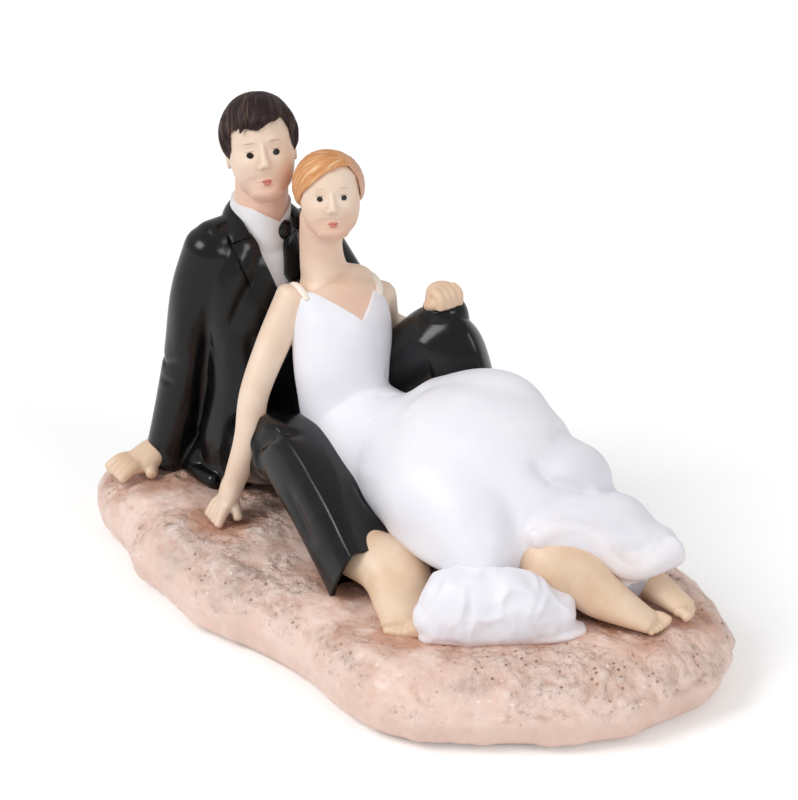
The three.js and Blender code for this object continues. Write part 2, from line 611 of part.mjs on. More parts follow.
// The skirt lies over both knees and falls in tiers to a rolled hem, hollow where the right leg comes out.
function skirt(grow) {
  const gown = [
    [at(-13.6, -1.2, 22), BODICE_WAIST + 0.5, BODICE_DEPTH - 0.6],
    [at(-5, 0.5, 17), SKIRT_HIPS, SKIRT_HIPS - 1],
    [at(7, 4, 16), (SKIRT_HIPS + SKIRT_KNEES) / 2 + 0.6, SKIRT_HIPS + 3],
    [at(20, 5.5, 18), SKIRT_KNEES + 1, SKIRT_KNEES],
    [at(31, 8, 13.4), SKIRT_KNEES - 1, SKIRT_KNEES - 5],
    [at(41, 15.5, 9), SKIRT_HEM, SKIRT_HEM - 4.4],
    [at(50, 21, 5.5), SKIRT_HEM - 2.6, SKIRT_HEM - 6],
  ];
  const lap = [
    [at(10, 0, 19), SKIRT_KNEES * 0.65],
    [at(22, -3, 18), SKIRT_KNEES * 0.7],
    [at(32, -6.5, 14.5), SKIRT_KNEES * 0.6],
    [at(38, -8.5, 12), SKIRT_KNEES * 0.32],
  ];
  const farKnee = [
    [at(6, 9, 21), SKIRT_KNEES * 0.65],
    [at(17, 12.5, 26), SKIRT_KNEES * 0.63],
    [at(23.6, 14.8, 20.8), SKIRT_KNEES * 0.455],
    [at(31, 17, 14), SKIRT_KNEES * 0.32],
  ];
  const upperTier = [
    [at(32.4, 3.5, 22.6), SKIRT_TIER - 1.6],
    [at(33.4, 11, 22), SKIRT_TIER + 0.2],
    [at(33.4, 18.6, 20.4), SKIRT_TIER + 0.2],
    [at(29, 26, 13), SKIRT_TIER - 1.6],
  ];
  const lowerTier = [
    [at(40.5, 2.4, 15.8), SKIRT_TIER - 2],
    [at(43, 10, 15.2), SKIRT_TIER - 0.6],
    [at(44.4, 18.8, 13.8), SKIRT_TIER - 0.3],
    [at(40.5, 26.5, 9), SKIRT_TIER - 1.6],
  ];
  const hem = [
    [at(43, 0.5, 16.5), HEM_ROLL],
    [at(45, 4.5, 18.3), HEM_ROLL],
    [at(47.8, 10, 17), HEM_ROLL],
    [at(51, 12, 13.6), HEM_ROLL],
    [at(53.4, 14, 11.4), HEM_ROLL + 0.3],
    [at(55, 19.5, 10.4), HEM_ROLL + 0.7],
    [at(55.4, 25, 11), HEM_ROLL + 0.9],
  ];
  const frontLobe = [
    [at(17, -9.4, 12.6), FRONT_LOBE],
    [at(25, -11.4, 11.6), FRONT_LOBE],
    [at(33, -11.8, 10), FRONT_LOBE - 0.6],
    [at(41, -9, 10.5), FRONT_LOBE - 1],
  ];
  const hollow = [
    [at(38, 3, 11.5), LEG_HOLLOW - 1],
    [at(44.6, 3.2, 10.2), LEG_HOLLOW + 0.1],
    [at(47.6, 7, 9.8), LEG_HOLLOW + 0.1],
    [at(51.2, 8.4, 6.6), LEG_HOLLOW - 0.1],
    [at(54, 9.6, 4.4), LEG_HOLLOW - 0.2],
    [at(60, 13, 2), LEG_HOLLOW - 0.2],
  ];
  const cloth = join(
    limb(gown, grow, { side: SKIRT_TILT, sides: 20, rings: 10 }),
    limb(lap, grow, { rings: 5 }),
    limb(farKnee, grow, { rings: 5 }),
    limb(upperTier, grow, { rings: 5, sides: 10 }),
    limb(lowerTier, grow, { rings: 5, sides: 10 }),
    limb(hem, grow, { rings: 9, sides: 8 }),
    limb(frontLobe, grow, { rings: 5, sides: 10 }),
  );
  return cloth.subtract(limb(hollow, -grow, { rings: 8, sides: 12 }));
}

function underskirt(grow) {
  const stations = [
    [at(36.8, -20, 2), UNDERSKIRT_WIDTH - 2.5, UNDERSKIRT_HEIGHT - 4],
    [at(40.2, -14.4, 4), UNDERSKIRT_WIDTH, UNDERSKIRT_HEIGHT],
    [at(44.7, -7.8, 4.5), UNDERSKIRT_WIDTH, UNDERSKIRT_HEIGHT],
    [at(50, 0.4, 2), UNDERSKIRT_WIDTH - 2, UNDERSKIRT_HEIGHT - 3],
  ];
  const crumple = (t, angle) => 0.07 * Math.cos(5 * angle + 9 * t) + 0.05 * Math.cos(3 * angle - 14 * t);
  return limb(stations, grow, { side: new THREE.Vector3(0.8, -0.6, 0), sides: 16, rings: 9, fold: crumple });
}

// Castings, in the order in which they keep their form: each is cut back from all those before it.
const SKIN = { color: 0xe8cdb5, roughness: 0.55 };
const TANNED = { color: 0xe3c29c, roughness: 0.55 };
const BLACK = { color: 0x17171a, roughness: 0.3 };
const WHITE = { color: 0xf0eff4, roughness: 0.45 };
const CASTINGS = [
  ["sand_base", sandSlab, { color: 0xdcb9a4, roughness: 0.6 }],
  ["groom_head", groomHead, SKIN],
  ["bride_head", brideHead, SKIN],
  ["groom_hair", groomHair, { color: 0x3a2a2a, roughness: 0.45 }],
  ["bride_hair", brideHair, { color: 0xd0925c, roughness: 0.45 }],
  ["bride_right_arm", brideRightArm, SKIN],
  ["groom_right_hand", groomRightHand, TANNED],
  ["groom_left_hand", groomLeftHand, TANNED],
  ["groom_right_foot", groomRightFoot, TANNED],
  ["groom_left_foot", groomLeftFoot, TANNED],
  ["bride_right_leg", brideRightLeg, TANNED],
  ["bride_left_foot", brideLeftFoot, TANNED],
  ["bride_shoulders", brideTorso, SKIN],
  ["bride_right_strap", (grow) => strap(-1, grow), WHITE],
  ["bride_left_strap", (grow) => strap(1, grow), WHITE],
  ["bride_bodice", bodice, WHITE],
  ["groom_left_sleeve", leftSleeve, BLACK],
  ["bride_left_arm", brideLeftArm, SKIN],
  ["groom_right_sleeve", rightSleeve, BLACK],
  ["groom_right_trouser_leg", rightTrouser, BLACK],
  ["groom_left_trouser_leg", leftTrouser, BLACK],
  ["bride_skirt", skirt, WHITE],
  ["bride_underskirt", underskirt, WHITE],
  ["groom_tie", tie, BLACK],
  ["groom_shirt", shirt, { color: 0xe9e6ea, roughness: 0.5 }],
  ["jacket_right_lapel", (grow) => lapel(-1, grow), BLACK],
  ["jacket_left_lapel", (grow) => lapel(1, grow), BLACK],
  ["groom_jacket", jacket, BLACK],
];

// Pegs: a casting, the casting whose socket takes its peg, where the peg starts and which way it goes.
const DOWN = new THREE.Vector3(0, 0, -1);
const PEGS = [
  ["groom_jacket", "sand_base", at(-42, -2, 0), DOWN, PEG_RADIUS],
  ["bride_skirt", "sand_base", at(14, 4, 0), DOWN, PEG_RADIUS],
  ["bride_underskirt", "sand_base", at(44, -11, 0), DOWN, PEG_RADIUS],
  ["bride_head", "bride_shoulders", at(-24.8, 2.1, 59), DOWN, NECK_PEG_RADIUS],
];

function peg([, , start, way, radius], grow) {
  const length = PEG_ROOT + PEG_DEPTH + grow;
  const pin = new THREE.CylinderGeometry(radius + grow, radius + grow, length, 16);
  pin.translate(0, length / 2 - PEG_ROOT, 0);
  pin.applyQuaternion(new THREE.Quaternion().setFromUnitVectors(ACROSS, way));
  pin.translate(start.x, start.y, start.z);
  return solid(pin);
}

// The main body of a cut casting, without the slivers that a cut can leave.
function mainBody(piece) {
  const bodies = piece.decompose();
  return bodies.reduce((best, body) => (body.volume() > best.volume() ? body : best));
}

function meshOf(name, piece, finish) {
  const { vertProperties, triVerts } = piece.getMesh();
  const geometry = new THREE.BufferGeometry();
  geometry.setAttribute("position", new THREE.BufferAttribute(vertProperties, 3));
  geometry.setIndex(new THREE.BufferAttribute(triVerts, 1));
  geometry.computeVertexNormals();
  const mesh = new THREE.Mesh(geometry, new THREE.MeshStandardMaterial({ ...finish, metalness: 0 }));
  mesh.name = name;
  return mesh;
}

const WELD = 0.06;
const topper = new THREE.Group();
topper.name = "wedding_cake_topper";
const earlier = [];
for (const [name, form, finish] of CASTINGS) {
  const uncut = form(0);
  let piece = earlier.reduce((body, other) => body.subtract(other), uncut);
  let clearance = form(GLUE_GAP);
  for (const link of PEGS) {
    const [pegged, socketed] = link;
    if (pegged === name) {
      piece = piece.add(peg(link, 0));
      clearance = clearance.add(peg(link, GLUE_GAP));
    }
    if (socketed === name) piece = piece.subtract(peg(link, GLUE_GAP));
  }
  topper.add(meshOf(name, mainBody(piece.simplify(WELD)), finish));
  earlier.push(clearance);
}

export default topper;
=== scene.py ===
"""Wedding cake topper: a bride and groom in cast, hand-painted resin, resting on a slab of beach sand.

Forms are modelled in millimetres in the part's frame (+X to the feet, +Y to the couple's left, +Z up) and
scaled to metres when a piece is finished.
"""
import math

import bmesh
import bpy
import numpy as np
from mathutils import Matrix, Vector, noise
from mathutils.bvhtree import BVHTree


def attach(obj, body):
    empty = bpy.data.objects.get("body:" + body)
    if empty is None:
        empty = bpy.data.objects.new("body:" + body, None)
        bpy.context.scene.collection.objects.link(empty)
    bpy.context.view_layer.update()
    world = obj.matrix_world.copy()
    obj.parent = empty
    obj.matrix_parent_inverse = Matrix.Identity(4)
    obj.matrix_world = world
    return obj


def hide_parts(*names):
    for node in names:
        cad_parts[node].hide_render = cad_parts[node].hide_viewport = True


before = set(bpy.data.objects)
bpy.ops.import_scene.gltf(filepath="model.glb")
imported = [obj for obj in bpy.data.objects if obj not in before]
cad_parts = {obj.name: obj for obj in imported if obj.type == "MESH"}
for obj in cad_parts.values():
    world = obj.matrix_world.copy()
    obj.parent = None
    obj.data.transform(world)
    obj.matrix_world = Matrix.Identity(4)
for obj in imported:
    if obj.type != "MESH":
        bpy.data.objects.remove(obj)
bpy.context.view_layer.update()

MM = 0.001
SAND_TOP = 15.0
COUPLE = np.array((-1.0, -0.4, SAND_TOP))


def unit(x, y=None, z=None):
    v = np.array(x if y is None else (x, y, z), float)
    return v / np.linalg.norm(v)


UP = unit(0, 0, 1)
ACROSS = unit(0, 1, 0)
GROOM_LEFT = unit(0.17, 0.985, 0)
GROOM_FRONT = np.cross(GROOM_LEFT, UP)
BRIDE_LEFT = unit(0.25, 0.955, -0.16)
BRIDE_UP = unit(-0.4, 0.12, 0.91)
BRIDE_FRONT = unit(np.cross(BRIDE_LEFT, BRIDE_UP))
GROOM_AXES = (GROOM_LEFT, UP, GROOM_FRONT)
BRIDE_AXES = (BRIDE_LEFT, BRIDE_UP, BRIDE_FRONT)
SKIRT_TILT = unit(0, 0.93, 0.37)


def at(x, y, height):
    """A place from where the couple sits: along, across, and height over the sand."""
    return np.array((x, y, height), float) + COUPLE


def places(*rows):
    """Several places, each a row of along, across and height."""
    return [at(*row) for row in rows]


def line(*rows):
    """Stations for a limb: each row is a place, a half-width, and a half-depth if it has one."""
    return [(at(*row[:3]), *row[3:]) for row in rows]


# Camera: the photograph's view, fitted to the slab and the figures.
VIEW_ROUND, VIEW_DOWN = math.radians(52), math.radians(25)
VIEW_TARGET = np.array((1.7, -1.1, 45.7))
VIEW_DISTANCE = 600.0
VIEW_LENS = 137.7
VIEW_BACK = np.array((
    math.sin(VIEW_ROUND) * math.cos(VIEW_DOWN),
    -math.cos(VIEW_ROUND) * math.cos(VIEW_DOWN),
    math.sin(VIEW_DOWN),
))


# Modelling

SAME_PLACE = 1e-4


def curve_point(rows, t):
    """A point at t, from 0 to 1, on the smooth curve through the rows."""
    last = len(rows) - 1
    k = min(int(t * last), last - 1)
    w = t * last - k
    p1, p2 = rows[k], rows[k + 1]
    p0 = rows[k - 1] if k else 2 * p1 - p2
    p3 = rows[k + 2] if k + 2 <= last else 2 * p2 - p1
    spans = [np.linalg.norm(b - a) ** 0.5 for a, b in ((p0, p1), (p1, p2), (p2, p3))]
    middle = spans[1] if spans[1] > SAME_PLACE else 1.0
    before, after = (s if s > SAME_PLACE else middle for s in (spans[0], spans[2]))
    slope1 = ((p1 - p0) / before - (p2 - p0) / (before + middle) + (p2 - p1) / middle) * middle
    slope2 = ((p2 - p1) / middle - (p3 - p1) / (middle + after) + (p3 - p2) / after) * middle
    square = -3 * p1 + 3 * p2 - 2 * slope1 - slope2
    cube = 2 * p1 - 2 * p2 + slope1 + slope2
    return p1 + slope1 * w + square * w ** 2 + cube * w ** 3


def points_of(verts):
    return np.array([v.co[:] for v in verts])


DOME_STEPS = 6
NUDGE = 1e-3


def limb(bm, stations, side=ACROSS, sides=48, rings=48, dome=0.6, start_dome=None, fold=None):
    """Adds an oval swept along a smooth line of stations and closed by domed ends.

    A station is its centre, its half-width along the side direction, its half-depth, the same if left out,
    and a side direction of its own if it has one. fold(t, angle) swells the oval: angle 0 is away from the
    side direction, a quarter turn is outwards.
    """
    centres = np.array([s[0] for s in stations], float)
    girths = np.array([(s[1], s[2] if len(s) > 2 else s[1], 0) for s in stations], float)
    leans = np.array([s[3] if len(s) > 3 else side for s in stations], float)
    loops = []
    for ring in range(rings + 1):
        t = ring / rings
        along = unit(curve_point(centres, min(1, t + NUDGE)) - curve_point(centres, max(0, t - NUDGE)))
        lean = curve_point(leans, t)
        across = unit(lean - along * (lean @ along))
        width, depth, _ = curve_point(girths, t)
        loops.append((t, curve_point(centres, t), along, across, np.cross(along, across), width, depth))

    def capped(loop, step, rise):
        t, centre, along, across, out, width, depth = loop
        angle = step / (DOME_STEPS + 1) * math.pi / 2
        shrink = 0 if step > DOME_STEPS else math.cos(angle)
        centre = centre + along * rise * min(width, depth) * math.sin(angle)
        return t, centre, along, across, out, width * shrink, depth * shrink

    steps = range(1, DOME_STEPS + 2)
    first, last = loops[0], loops[-1]
    lower = [capped(first, s, -(dome if start_dome is None else start_dome)) for s in reversed(steps)]
    loops = lower + loops + [capped(last, s, dome) for s in steps]
    count = len(loops) - 1
    made = bmesh.ops.create_uvsphere(bm, u_segments=sides, v_segments=count, radius=1)["verts"]
    ball_at = points_of(made)
    rows = np.rint(np.arccos(np.clip(ball_at[:, 2], -1, 1)) / math.pi * count).astype(int)
    angles = np.arctan2(ball_at[:, 1], ball_at[:, 0]) % (2 * math.pi)
    t, centre, _, across, out, width, depth = (np.array(values)[rows] for values in zip(*loops))
    reach = out * (np.sin(angles) * depth)[:, None] - across * (np.cos(angles) * width)[:, None]
    if fold:
        reach = reach * (1 + fold(t, angles))[:, None]
    for v, p in zip(made, (centre + reach).tolist()):
        v.co = p
    bmesh.ops.recalc_face_normals(bm, faces=list({f for v in made for f in v.link_faces}))


def ball(bm, centre, radii, turn=None, sides=32):
    """Adds an ellipsoid with its radii along the columns of a turn."""
    spin = turn.to_4x4() if turn is not None else Matrix.Identity(4)
    place = Matrix.Translation(Vector(centre)) @ spin @ Matrix.Diagonal((*radii, 1))
    bmesh.ops.create_uvsphere(bm, u_segments=sides, v_segments=sides // 2, radius=1, matrix=place)


def mesh_of(bm, name):
    mesh = bpy.data.meshes.new(name)
    bm.to_mesh(mesh)
    return mesh


def new_object(name, data):
    """Puts an object into the scene at the origin."""
    obj = bpy.data.objects.new(name, data)
    bpy.context.scene.collection.objects.link(obj)
    return obj


def modify(obj, modifiers):
    """Adds modifiers, given as (kind, settings)."""
    for kind, settings in modifiers:
        modifier = obj.modifiers.new(kind, kind)
        for key, value in settings.items():
            setattr(modifier, key, value)


def reshape(bm, *modifiers):
    """Shapes a bmesh by modifiers."""
    mesh = mesh_of(bm, "clay")
    clay = new_object("clay", mesh)
    modify(clay, modifiers)
    bpy.context.view_layer.update()
    shaped = clay.evaluated_get(bpy.context.evaluated_depsgraph_get()).to_mesh()
    bm.clear()
    bm.from_mesh(shaped)
    bpy.data.objects.remove(clay)
    bpy.data.meshes.remove(mesh)


def fuse(bm, cell, ease):
    """Melts overlapping closed forms into one skin of even cells and eases it, as wax is blended."""
    reshape(
        bm,
        ("REMESH", {"mode": "VOXEL", "voxel_size": cell}),
        ("SMOOTH", {"factor": 0.5, "iterations": ease}),
    )


def sculpt(bm, move):
    """Moves the vertices by move(points, normals), an array of shifts."""
    bm.normal_update()
    points = points_of(bm.verts)
    normals = np.array([v.normal[:] for v in bm.verts])
    for v, p in zip(bm.verts, (points + move(points, normals)).tolist()):
        v.co = p


def bump_at(points, centre, radii):
    """A soft round weight, 1 at the centre and fading over the radii."""
    return np.exp(-(((points - np.array(centre)) / np.array(radii)) ** 2).sum(1))


def ramp(values, low, high):
    share = np.clip((values - low) / (high - low), 0, 1)
    return share * share * (3 - 2 * share)


def grain(points, size, seed=0.0):
    """Smooth noise from -1 to 1 with lumps about as wide as size, in mm, per axis."""
    scaled = points / np.array(size, float) + seed
    return np.array([noise.noise(p) for p in scaled.tolist()])


WARP = 2.0


def warped(points, size, seeds):
    """Points drifted by noise, so that a pattern on them loses its even look."""
    return points + WARP * np.stack([grain(points, size, seed) for seed in seeds], 1)


FOLD_START = 0.06


def folds(bm, lines):
    """Presses folds into a form: each a line of places, a half-width and a height, under 0 for a crease."""
    def press(points, normals):
        lift = np.zeros(len(points))
        for spots, width, height in lines:
            weight = np.zeros(len(points))
            count = len(spots) - 1
            for k, (start, end) in enumerate(zip(spots, spots[1:])):
                way = end - start
                share = np.clip(((points - start) @ way) / (way @ way), 0, 1)
                far = np.linalg.norm(points - start - share[:, None] * way, axis=1)
                length = FOLD_START + (1 - 2 * FOLD_START) * (k + share) / count
                fade = np.sin(math.pi * length) ** 0.5
                weight = np.maximum(weight, np.exp(-(far / width) ** 2) * fade)
            lift += height * weight
        return normals * lift[:, None]

    sculpt(bm, press)


FAR_OUT = 40.0
OVERSIZE = 1.01


def touch(surface, place, out):
    """The spot and normal where a surface is met on the way in towards a place from far out."""
    return surface.ray_cast(Vector(place + out * FAR_OUT), Vector(-out))[:2]


def cut_off(bm, place, way):
    """Cuts away what lies past a place along a direction, and gives the edges of the cut."""
    everything = bm.verts[:] + bm.edges[:] + bm.faces[:]
    cut = bmesh.ops.bisect_plane(bm, geom=everything, plane_co=place, plane_no=way, clear_outer=True)
    return [e for e in cut["geom_cut"] if isinstance(e, bmesh.types.BMEdge)]


def lay(surface, origin, right, up, out, outline, step, lift):
    """A sheet cut to a convex outline of (right, up) distances and laid on a surface from outside."""
    bm = bmesh.new()
    corners = np.array(outline, float)
    low, high = corners.min(0), corners.max(0)
    cells = np.maximum(2, np.ceil((high - low) / step)).astype(int).tolist()
    middle, size = (low + high) / 2, (high - low) * OVERSIZE
    spread = Matrix.Translation((*middle, 0)) @ Matrix.Diagonal((*size, 1, 1))
    bmesh.ops.create_grid(bm, x_segments=cells[0], y_segments=cells[1], size=0.5, matrix=spread)
    for a, b in zip(corners, np.roll(corners, -1, 0)):
        way = b - a
        cut_off(bm, (*a, 0), (way[1], -way[0], 0))
    for v in bm.verts:
        start = origin + right * v.co.x + up * v.co.y
        spot, normal = touch(surface, start, out)
        v.co = start if spot is None else spot + normal * lift
    return bm


def prism(outline, origin, right, up, out, low, high):
    """A closed block over an outline of (right, up) distances, from low to high along out."""
    bm = bmesh.new()
    corners = [bm.verts.new(origin + right * u + up * v + out * low) for u, v in outline]
    base = bm.faces.new(corners)
    raised = bmesh.ops.extrude_face_region(bm, geom=[base], use_keep_orig=True)["geom"]
    bmesh.ops.translate(
        bm, vec=out * (high - low), verts=[v for v in raised if isinstance(v, bmesh.types.BMVert)]
    )
    bmesh.ops.recalc_face_normals(bm, faces=bm.faces)
    return bm


def carve(bm, tool):
    """Cuts a closed tool form out of a closed form."""
    mesh = mesh_of(tool, "tool")
    cutter = new_object("tool", mesh)
    reshape(bm, ("BOOLEAN", {"operation": "DIFFERENCE", "object": cutter, "solver": "MANIFOLD"}))
    bpy.data.objects.remove(cutter)
    bpy.data.meshes.remove(mesh)


def scoop(bm, stations, **options):
    """Cuts a limb's form out of a closed form."""
    tool = bmesh.new()
    limb(tool, stations, **options)
    carve(bm, tool)


def mark(bm, name, values):
    """Writes a value on each vertex, for a paint to use."""
    layer = bm.verts.layers.float.new(name)
    for v, value in zip(bm.verts, values.tolist()):
        v[layer] = value


def join(bm, other):
    """Adds a copy of another form."""
    mesh = mesh_of(other, "copy")
    bm.from_mesh(mesh)
    bpy.data.meshes.remove(mesh)


WELD = 0.001


def node_copy(name):
    """A CAD node's form in millimetres, with its loose triangles merged."""
    bm = bmesh.new()
    bm.from_mesh(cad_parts[name].data)
    bmesh.ops.scale(bm, vec=(1 / MM,) * 3, verts=bm.verts)
    bmesh.ops.remove_doubles(bm, verts=bm.verts, dist=WELD)
    return bm


CUT_EDGE = math.radians(60)


def piece(bm, name, material, nodes=(), modifiers=()):
    """Finishes a form as a piece of the object, in metres, riding on the one rigid body."""
    bm = bm.copy()
    bmesh.ops.scale(bm, vec=(MM,) * 3, verts=bm.verts)
    for face in bm.faces:
        face.smooth = True
    for edge in bm.edges:
        edge.smooth = len(edge.link_faces) != 2 or edge.calc_face_angle() < CUT_EDGE
    mesh = mesh_of(bm, name)
    bm.free()
    obj = new_object(name, mesh)
    mesh.materials.append(material)
    modify(obj, modifiers)
    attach(obj, "root")
    if nodes:
        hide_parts(*nodes)


# Materials

def linear(code):
    """An sRGB hex colour as linear RGBA."""
    channels = [int(code[i:i + 2], 16) / 255 for i in (1, 3, 5)]
    return (*(c / 12.92 if c <= 0.04045 else ((c + 0.055) / 1.055) ** 2.4 for c in channels), 1)


def add_node(tree, kind, inputs=None, output=0, **settings):
    """Adds a node and gives one of its outputs. An input that is a socket is linked, any other is set."""
    made = tree.nodes.new("ShaderNode" + kind)
    for key, value in settings.items():
        setattr(made, key, value)
    for key, value in (inputs or {}).items():
        if isinstance(value, bpy.types.NodeSocket):
            tree.links.new(value, made.inputs[key])
        else:
            made.inputs[key].default_value = value
    return made.outputs[output]


SHINE = 0.06


def resin_paint(name, colour, second, patch, rough, bump, stroke=0.9, **shader):
    """Hand-painted cast resin: a brushed coat in two near tones, with a faintly uneven varnish.

    patch is the size in mm of the areas where the tone drifts, stroke that of the brush marks and bump the
    height of those marks. SHINE is how far the roughness drifts.
    """
    material = bpy.data.materials.new(name)
    material.use_nodes = True
    tree = material.node_tree
    principled = tree.nodes["Principled BSDF"]
    place = add_node(tree, "TexCoord", output="Object")
    drift = add_node(tree, "TexNoise", {"Vector": place, "Scale": 1 / (patch * MM), "Detail": 4.0})
    share = add_node(tree, "MapRange", {0: drift, 1: 0.35, 2: 0.7})
    tones = {0: share, 6: linear(colour), 7: linear(second)}
    tone = add_node(tree, "Mix", tones, output=2, data_type="RGBA")
    marks = add_node(tree, "TexNoise", {"Vector": place, "Scale": 1 / (stroke * MM), "Detail": 3.0})
    shine = add_node(tree, "MapRange", {0: marks, 1: 0.3, 2: 0.7, 3: rough - SHINE, 4: rough + SHINE})
    relief = add_node(tree, "Bump", {"Height": marks, "Distance": bump * MM, "Strength": 1.0})
    tree.links.new(tone, principled.inputs["Base Color"])
    tree.links.new(shine, principled.inputs["Roughness"])
    tree.links.new(relief, principled.inputs["Normal"])
    for key, value in shader.items():
        principled.inputs[key.replace("_", " ")].default_value = value
    return material


def washed(material, attribute, low, high, colour, most):
    """Mixes a colour into a paint, by a share at most, where a piece's attribute goes from low to high."""
    tree = material.node_tree
    principled = tree.nodes["Principled BSDF"]
    under = principled.inputs["Base Color"].links[0].from_socket
    value = add_node(tree, "Attribute", output="Fac", attribute_name=attribute)
    share = add_node(tree, "MapRange", {0: value, 1: low, 2: high, 4: most})
    mixed = add_node(tree, "Mix", {0: share, 6: under, 7: linear(colour)}, output=2, data_type="RGBA")
    tree.links.new(mixed, principled.inputs["Base Color"])


# Skin: satin paint, with pink blush on the cheeks and pink painted shade on lower faces and necks. The
# hands and feet are warmer.
SKIN = resin_paint("satin_skin_paint", "#eed8c4", "#e6c8b0", 7, 0.45, 0.01)
washed(SKIN, "blush_and_shade", 0, 1, "#dfa18a", 0.7)
TANNED = resin_paint("satin_warm_skin_paint", "#e7cdb3", "#dcb897", 7, 0.45, 0.01)
# Suit: thick glossy black, laid on in soft waves.
BLACK = resin_paint(
    "gloss_black_paint", "#08080a", "#101012", 9, 0.22, 0.03, stroke=4.0, Specular_IOR_Level=0.36
)
# Dress, shirt and straps: satin whites, the dress cool with a pinkish painted shade along its hems, the
# straps creamy.
WHITE = resin_paint("satin_white_paint", "#f0eff5", "#e8e7ef", 11, 0.46, 0.03, stroke=3.0)
washed(WHITE, "hem", 0.2, 1.0, "#efd9d2", 0.6)
# Dark grey-brown painted shade in the underskirt's pits.
washed(WHITE, "pit", 0.3, 0.9, "#8d817c", 0.6)
SHIRT = resin_paint("satin_shirt_paint", "#efedf0", "#e2dfe3", 9, 0.5, 0.02)
CREAM = resin_paint("cream_strap_paint", "#f7f0e6", "#eee4d6", 5, 0.5, 0.02)
# Hair: strokes that follow the combed strands, dark brown, and reddish blond with a pale painted sheen on
# the far side.
BROWN_HAIR = resin_paint("brown_hair_paint", "#271a1a", "#372423", 2.5, 0.5, 0.02, Specular_IOR_Level=0.2)
washed(BROWN_HAIR, "strand", 0.1, 0.5, "#66503f", 0.55)
BLOND_HAIR = resin_paint("blond_hair_paint", "#d99a63", "#c78650", 3.5, 0.42, 0.02)
washed(BLOND_HAIR, "strand", 0.1, 0.5, "#f0c79a", 0.7)
washed(BLOND_HAIR, "far_side_sheen", 0.0, 1.0, "#d3ab95", 0.75)
# Faces: small dabs of paint.
EYE_WHITE = resin_paint("eye_white_paint", "#ecdccf", "#e6d4c5", 2, 0.35, 0.005)
EYE_DARK = resin_paint("eye_dot_paint", "#150f0e", "#1f1513", 2, 0.4, 0.005, Specular_IOR_Level=0.3)
LASH = resin_paint("lash_paint", "#b99c8a", "#c4a896", 2, 0.45, 0.005)
LIPS = resin_paint("lip_paint", "#d0857a", "#c67468", 1.5, 0.4, 0.01)
BROW_BROWN = resin_paint("brown_brow_paint", "#d6bfac", "#cbb19d", 1.5, 0.45, 0.01)
BROW_BLOND = resin_paint("blond_brow_paint", "#e0c8b2", "#d8bda4", 1.5, 0.45, 0.01)


# Sand: crumbs, in mm across and high, and spotted cells of a size in mm. A cell is a dark speck where its
# random value is under a limit, and a painted glint where it is over another.
CRUMB, CRUMB_HEIGHT = 1.7, 1.3
SPOT_SIZE = 1.5
DARK_UNDER, BRIGHT_OVER = 0.3, 0.93


def sand_paint():
    """Beach sand: pinkish beige with grey stains, crumbled patches and dark specks, and painted shade,
    highlights and glints.
    """
    material = resin_paint("beach_sand_paint", "#f0d6ca", "#e6c4b4", 8, 0.38, 0.06)
    washed(material, "grey", 0.15, 0.7, "#c9b2a8", 0.7)
    # Painted shade: darker in the low places between the crumbs and reddish brown near the figures; painted
    # highlights on the raised crumbs.
    washed(material, "hollow_shade", 0.5, 1.0, "#cfa38f", 0.55)
    washed(material, "contact_shade", 0.15, 0.6, "#c58e72", 0.75)
    washed(material, "ridge", 0.3, 0.9, "#f8ebe4", 0.6)
    tree = material.node_tree
    principled = tree.nodes["Principled BSDF"]
    colour = principled.inputs["Base Color"].links[0].from_socket
    smooth = principled.inputs["Normal"].links[0].from_socket
    place = add_node(tree, "TexCoord", output="Object")
    crumbled = add_node(tree, "Attribute", output="Fac", attribute_name="crumbled")
    crumbs = add_node(
        tree, "TexNoise",
        {"Vector": place, "Scale": 1 / (CRUMB * MM), "Detail": 5.0, "Roughness": 0.62, "Distortion": 0.4},
    )
    relief = add_node(
        tree, "Bump",
        {"Height": crumbs, "Distance": CRUMB_HEIGHT * MM, "Strength": crumbled, "Normal": smooth},
    )
    # Painted shade in the low places of the crumbs.
    low = add_node(tree, "MapRange", {0: crumbs, 1: 0.3, 2: 0.46, 3: 0.6, 4: 0.0})
    cells = add_node(tree, "TexVoronoi", {"Vector": place, "Scale": 1 / (SPOT_SIZE * MM)}).node.outputs
    near = add_node(tree, "MapRange", {0: cells["Distance"], 1: 0.12, 2: 0.3, 3: 1.0, 4: 0.0})
    value = add_node(tree, "SeparateColor", {0: cells["Color"]})
    # Dark cells are specks, joined by the painted shade of the crumbs' low places; bright cells are painted
    # glints.
    for test, limit, paint in (
        ("LESS_THAN", DARK_UNDER, "#96705f"), ("GREATER_THAN", BRIGHT_OVER, "#fff6f0"),
    ):
        chosen = add_node(tree, "Math", {0: value, 1: limit}, operation=test)
        specks_and_painted_light = add_node(tree, "Math", {0: near, 1: chosen}, operation="MULTIPLY")
        if test == "LESS_THAN":
            specks_and_painted_light = add_node(tree, "Math", {0: low, 1: specks_and_painted_light}, operation="MAXIMUM")
        share = add_node(tree, "Math", {0: specks_and_painted_light, 1: crumbled}, operation="MULTIPLY")
        colour = add_node(tree, "Mix", {0: share, 6: colour, 7: linear(paint)}, output=2, data_type="RGBA")
    tree.links.new(colour, principled.inputs["Base Color"])
    tree.links.new(relief, principled.inputs["Normal"])
    return material


SAND = sand_paint()


# Sand slab

def figure_surface():
    """The figures' solids, to find how near the sand lies to them."""
    bm = bmesh.new()
    for name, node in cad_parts.items():
        if name != "sand_base":
            bm.from_mesh(node.data)
    bmesh.ops.scale(bm, vec=(1 / MM,) * 3, verts=bm.verts)
    return BVHTree.FromBMesh(bm)


